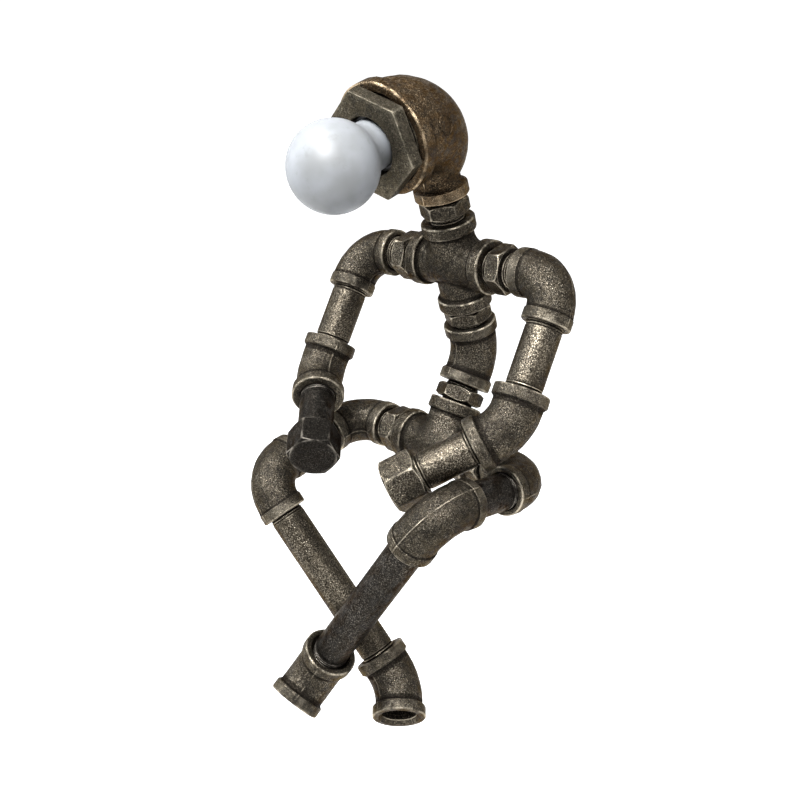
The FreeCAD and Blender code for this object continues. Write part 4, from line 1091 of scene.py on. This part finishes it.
def build_spine():
    """The tee, the cross and what is between them and above."""
    made = branch_fitting("pelvis_tee_casting", SEATS["pelvis_tee"], (0, 180, 90), SEEDS["pelvis"], boss=True)
    dress(made, "pelvis_tee", "antique_bronze")
    made = branch_fitting("chest_cross_casting", SEATS["chest_cross"], (0, 180, 90, 270), SEEDS["chest"])
    dress(made, "chest_cross", "antique_bronze")
    made = elbow("spine_elbow_casting", SEATS["spine_elbow"], seed=SEEDS["spine"], **HALFBEND)
    dress(made, "spine_elbow", "antique_bronze")
    for node, sizes in SPINE_NIPPLES.items():
        dress(nipple(node + "_turned", SEATS[node], *sizes), node, "antique_bronze")


def build_side(number, side):
    """The arm and the leg of one side."""
    families = {"shoulder": ELBOW, "arm": HALFBEND, "hip": ELBOW, "knee": ELBOW, "foot": FOOT}
    for part, family in families.items():
        node = part + "_elbow_" + side
        made = elbow(node + "_casting", SEATS[node], seed=SEEDS[part] + number, **family)
        dress(made, node, "antique_bronze")
    for part, gap in (("shoulder_nipple", SHOULDER_GAP), ("hip_nipple", HIP_GAP)):
        node = part + "_" + side
        dress(nipple(node + "_turned", SEATS[node], gap, SIDE_HEXAGON), node, "worn_bronze")
    gaps = {"upper_arm": UPPER_ARM_GAP[side], "forearm": FOREARM_GAP, "thigh": THIGH_GAP, "shin": SHIN_GAP}
    for part, gap in gaps.items():
        node = part + "_" + side
        dress(pipe(node + "_pipe", SEATS[node], gap), node, "antiqued_pipe", pipe_finish(node))
    node = "hand_cap_" + side
    made = cap(node + "_turned", SEATS[node], HAND_CAP_TURN[side])
    dress(made, node, "worn_bronze", FINISHES[HAND_FINISH[side]])


def build_head():
    """The head, its bushing and its bulb."""
    place = SEATS["head"]
    dress(head_casting("head_elbow_casting", place, SEEDS["head"]), "head_elbow", "warm_bronze")
    mark = head_mark("head_mark_ring", place)
    mark.data.materials.append(FINISHES["warm_bronze"])
    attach(mark, "head")
    dress(bushing("head_bushing_turned", place), "head_bushing", "dark_iron")
    dress(bulb("bulb_globe_glass", place), "bulb_globe", "frosted_glass")


KEPT_NODES = {
    "holder_body": "black_phenolic",
    "holder_screw_shell": "brass_sheet",
    "holder_contact": "brass_sheet",
    "holder_screw_one": "zinc_screw",
    "holder_screw_two": "zinc_screw",
    "bulb_stem": "clear_glass",
    "bulb_cap": "brass_sheet",
    "bulb_insulator": "black_glass",
    "bulb_contact": "zinc_screw",
    "cable_gland": "black_rubber",
}


def dress_kept_nodes():
    """Procedural finishes for the CAD nodes that stay as they are."""
    for node, slot_name in KEPT_NODES.items():
        obj = frame["nodes"][node]
        obj.data.materials.clear()
        obj.data.materials.append(FINISHES[slot_name])


SENSOR = 36.0
FOCAL_PIXELS = 1215.7
IMAGE_PIXELS = 800.0
CAMERA_PLACE = (0.4525, -0.5078, 0.33206)
CAMERA_YAW = 43.8
CAMERA_PITCH = -22.8


def camera():
    """The photograph's camera."""
    data = bpy.data.cameras.new("photo_camera")
    data.sensor_width = SENSOR
    data.lens = SENSOR * FOCAL_PIXELS / IMAGE_PIXELS
    obj = linked("photo_camera", data)
    obj.location = CAMERA_PLACE
    obj.rotation_euler = (math.radians(90.0 + CAMERA_PITCH), 0.0, math.radians(CAMERA_YAW))
    bpy.context.scene.camera = obj


# each soft lamp's place, the point that it faces, its two sides in metres, its power and its colour
LAMPS = {
    "window_lamp": ((0.35, -1.0, 1.35), (0.0, -0.03, 0.05), (0.65, 0.65), 72.0, (0.96, 0.98, 1.0)),
    "left_lamp": ((-1.2, -0.7, 0.5), (0.0, 0.0, 0.05), (0.5, 1.2), 11.0, (0.82, 0.9, 1.0)),
    "top_lamp": ((-0.35, -0.5, 1.4), (0.0, -0.02, 0.05), (0.6, 0.6), 26.0, (1.0, 1.0, 1.0)),
    "right_lamp": ((1.25, 0.35, 0.6), (0.0, 0.0, 0.05), (0.3, 1.0), 6.0, (1.0, 1.0, 1.0)),
}
WORLD_STRENGTH = 0.3
WORLD_BELOW = (0.03, 0.03, 0.032, 1.0)
WORLD_ABOVE = (0.85, 0.88, 0.93, 1.0)
FLOOR_Z = -0.6
FLOOR_HALF = 60.0
FLOOR_GLOW = 0.95
FLOOR_COLOUR = (0.85, 0.85, 0.85, 1.0)


def lamp(name, place, target, size, power, colour):
    """A soft rectangular lamp."""
    data = bpy.data.lights.new(name, "AREA")
    data.shape = "RECTANGLE"
    data.size, data.size_y = size
    data.energy = power
    data.color = colour
    obj = linked(name, data)
    obj.location = place
    aim = Vector(target) - Vector(place)
    obj.rotation_euler = aim.to_track_quat("-Z", "Y").to_euler()


def show(nodes, output, plain, white):
    """Puts out white for the camera and in mirror and glass rays, and plain for everything else."""
    path = nodes.node("LightPath").outputs
    seen = path["Is Camera Ray"]
    for ray in ("Is Glossy Ray", "Is Transmission Ray"):
        seen = nodes.made("Math", (0, seen), (1, path[ray]), operation="MAXIMUM")["Value"]
    mix = nodes.made("MixShader", ("Fac", seen), (1, plain), (2, white))
    nodes.feed(nodes.tree.nodes[output].inputs["Surface"], mix["Shader"])


def sky():
    """Soft light all round, brighter from above, behind which everything is seen as white."""
    world = bpy.data.worlds.new("studio")
    bpy.context.scene.world = world
    nodes = Nodes(world)
    place = nodes.node("TexCoord").outputs["Generated"]
    turned = nodes.made("Mapping", ("Vector", place), ("Rotation", (0.0, QUARTER, 0.0)))["Vector"]
    height = nodes.made("TexGradient", ("Vector", turned))["Fac"]
    ramp = nodes.node("ValToRGB")
    ramp.color_ramp.elements[0].color = WORLD_BELOW
    ramp.color_ramp.elements[1].color = WORLD_ABOVE
    nodes.feed(ramp.inputs["Fac"], height)
    plain = nodes.tree.nodes["Background"]
    nodes.feed(plain.inputs["Strength"], WORLD_STRENGTH)
    nodes.feed(plain.inputs["Color"], ramp.outputs["Color"])
    white = nodes.made("Background", ("Color", (1.0, 1.0, 1.0, 1.0)))["Background"]
    show(nodes, "World Output", plain.outputs["Background"], white)


def floor():
    """The pale floor, far below the hanging feet."""
    half = FLOOR_HALF
    corners = [(-half, -half, FLOOR_Z), (half, -half, FLOOR_Z), (half, half, FLOOR_Z), (-half, half, FLOOR_Z)]
    mesh = bpy.data.meshes.new("studio_floor")
    mesh.from_pydata(corners, [], [(0, 1, 2, 3)])
    linked("studio_floor", mesh)
    material = bpy.data.materials.new("floor_look")
    nodes = Nodes(material)
    nodes.tree.nodes.remove(nodes.tree.nodes["Principled BSDF"])
    matt = nodes.made("BsdfDiffuse", ("Color", FLOOR_COLOUR))["BSDF"]
    glow = nodes.made("Emission", ("Strength", FLOOR_GLOW))["Emission"]
    both = nodes.made("AddShader", (0, matt), (1, glow))["Shader"]
    show(nodes, "Material Output", matt, both)
    mesh.materials.append(material)


camera()
build_spine()
for side_number, side_name in enumerate(("left", "right")):
    build_side(side_number, side_name)
build_head()
dress_kept_nodes()
sky()
for lamp_name, settings in LAMPS.items():
    lamp(lamp_name, *settings)
floor()
bpy.context.scene.view_settings.view_transform = "Standard"
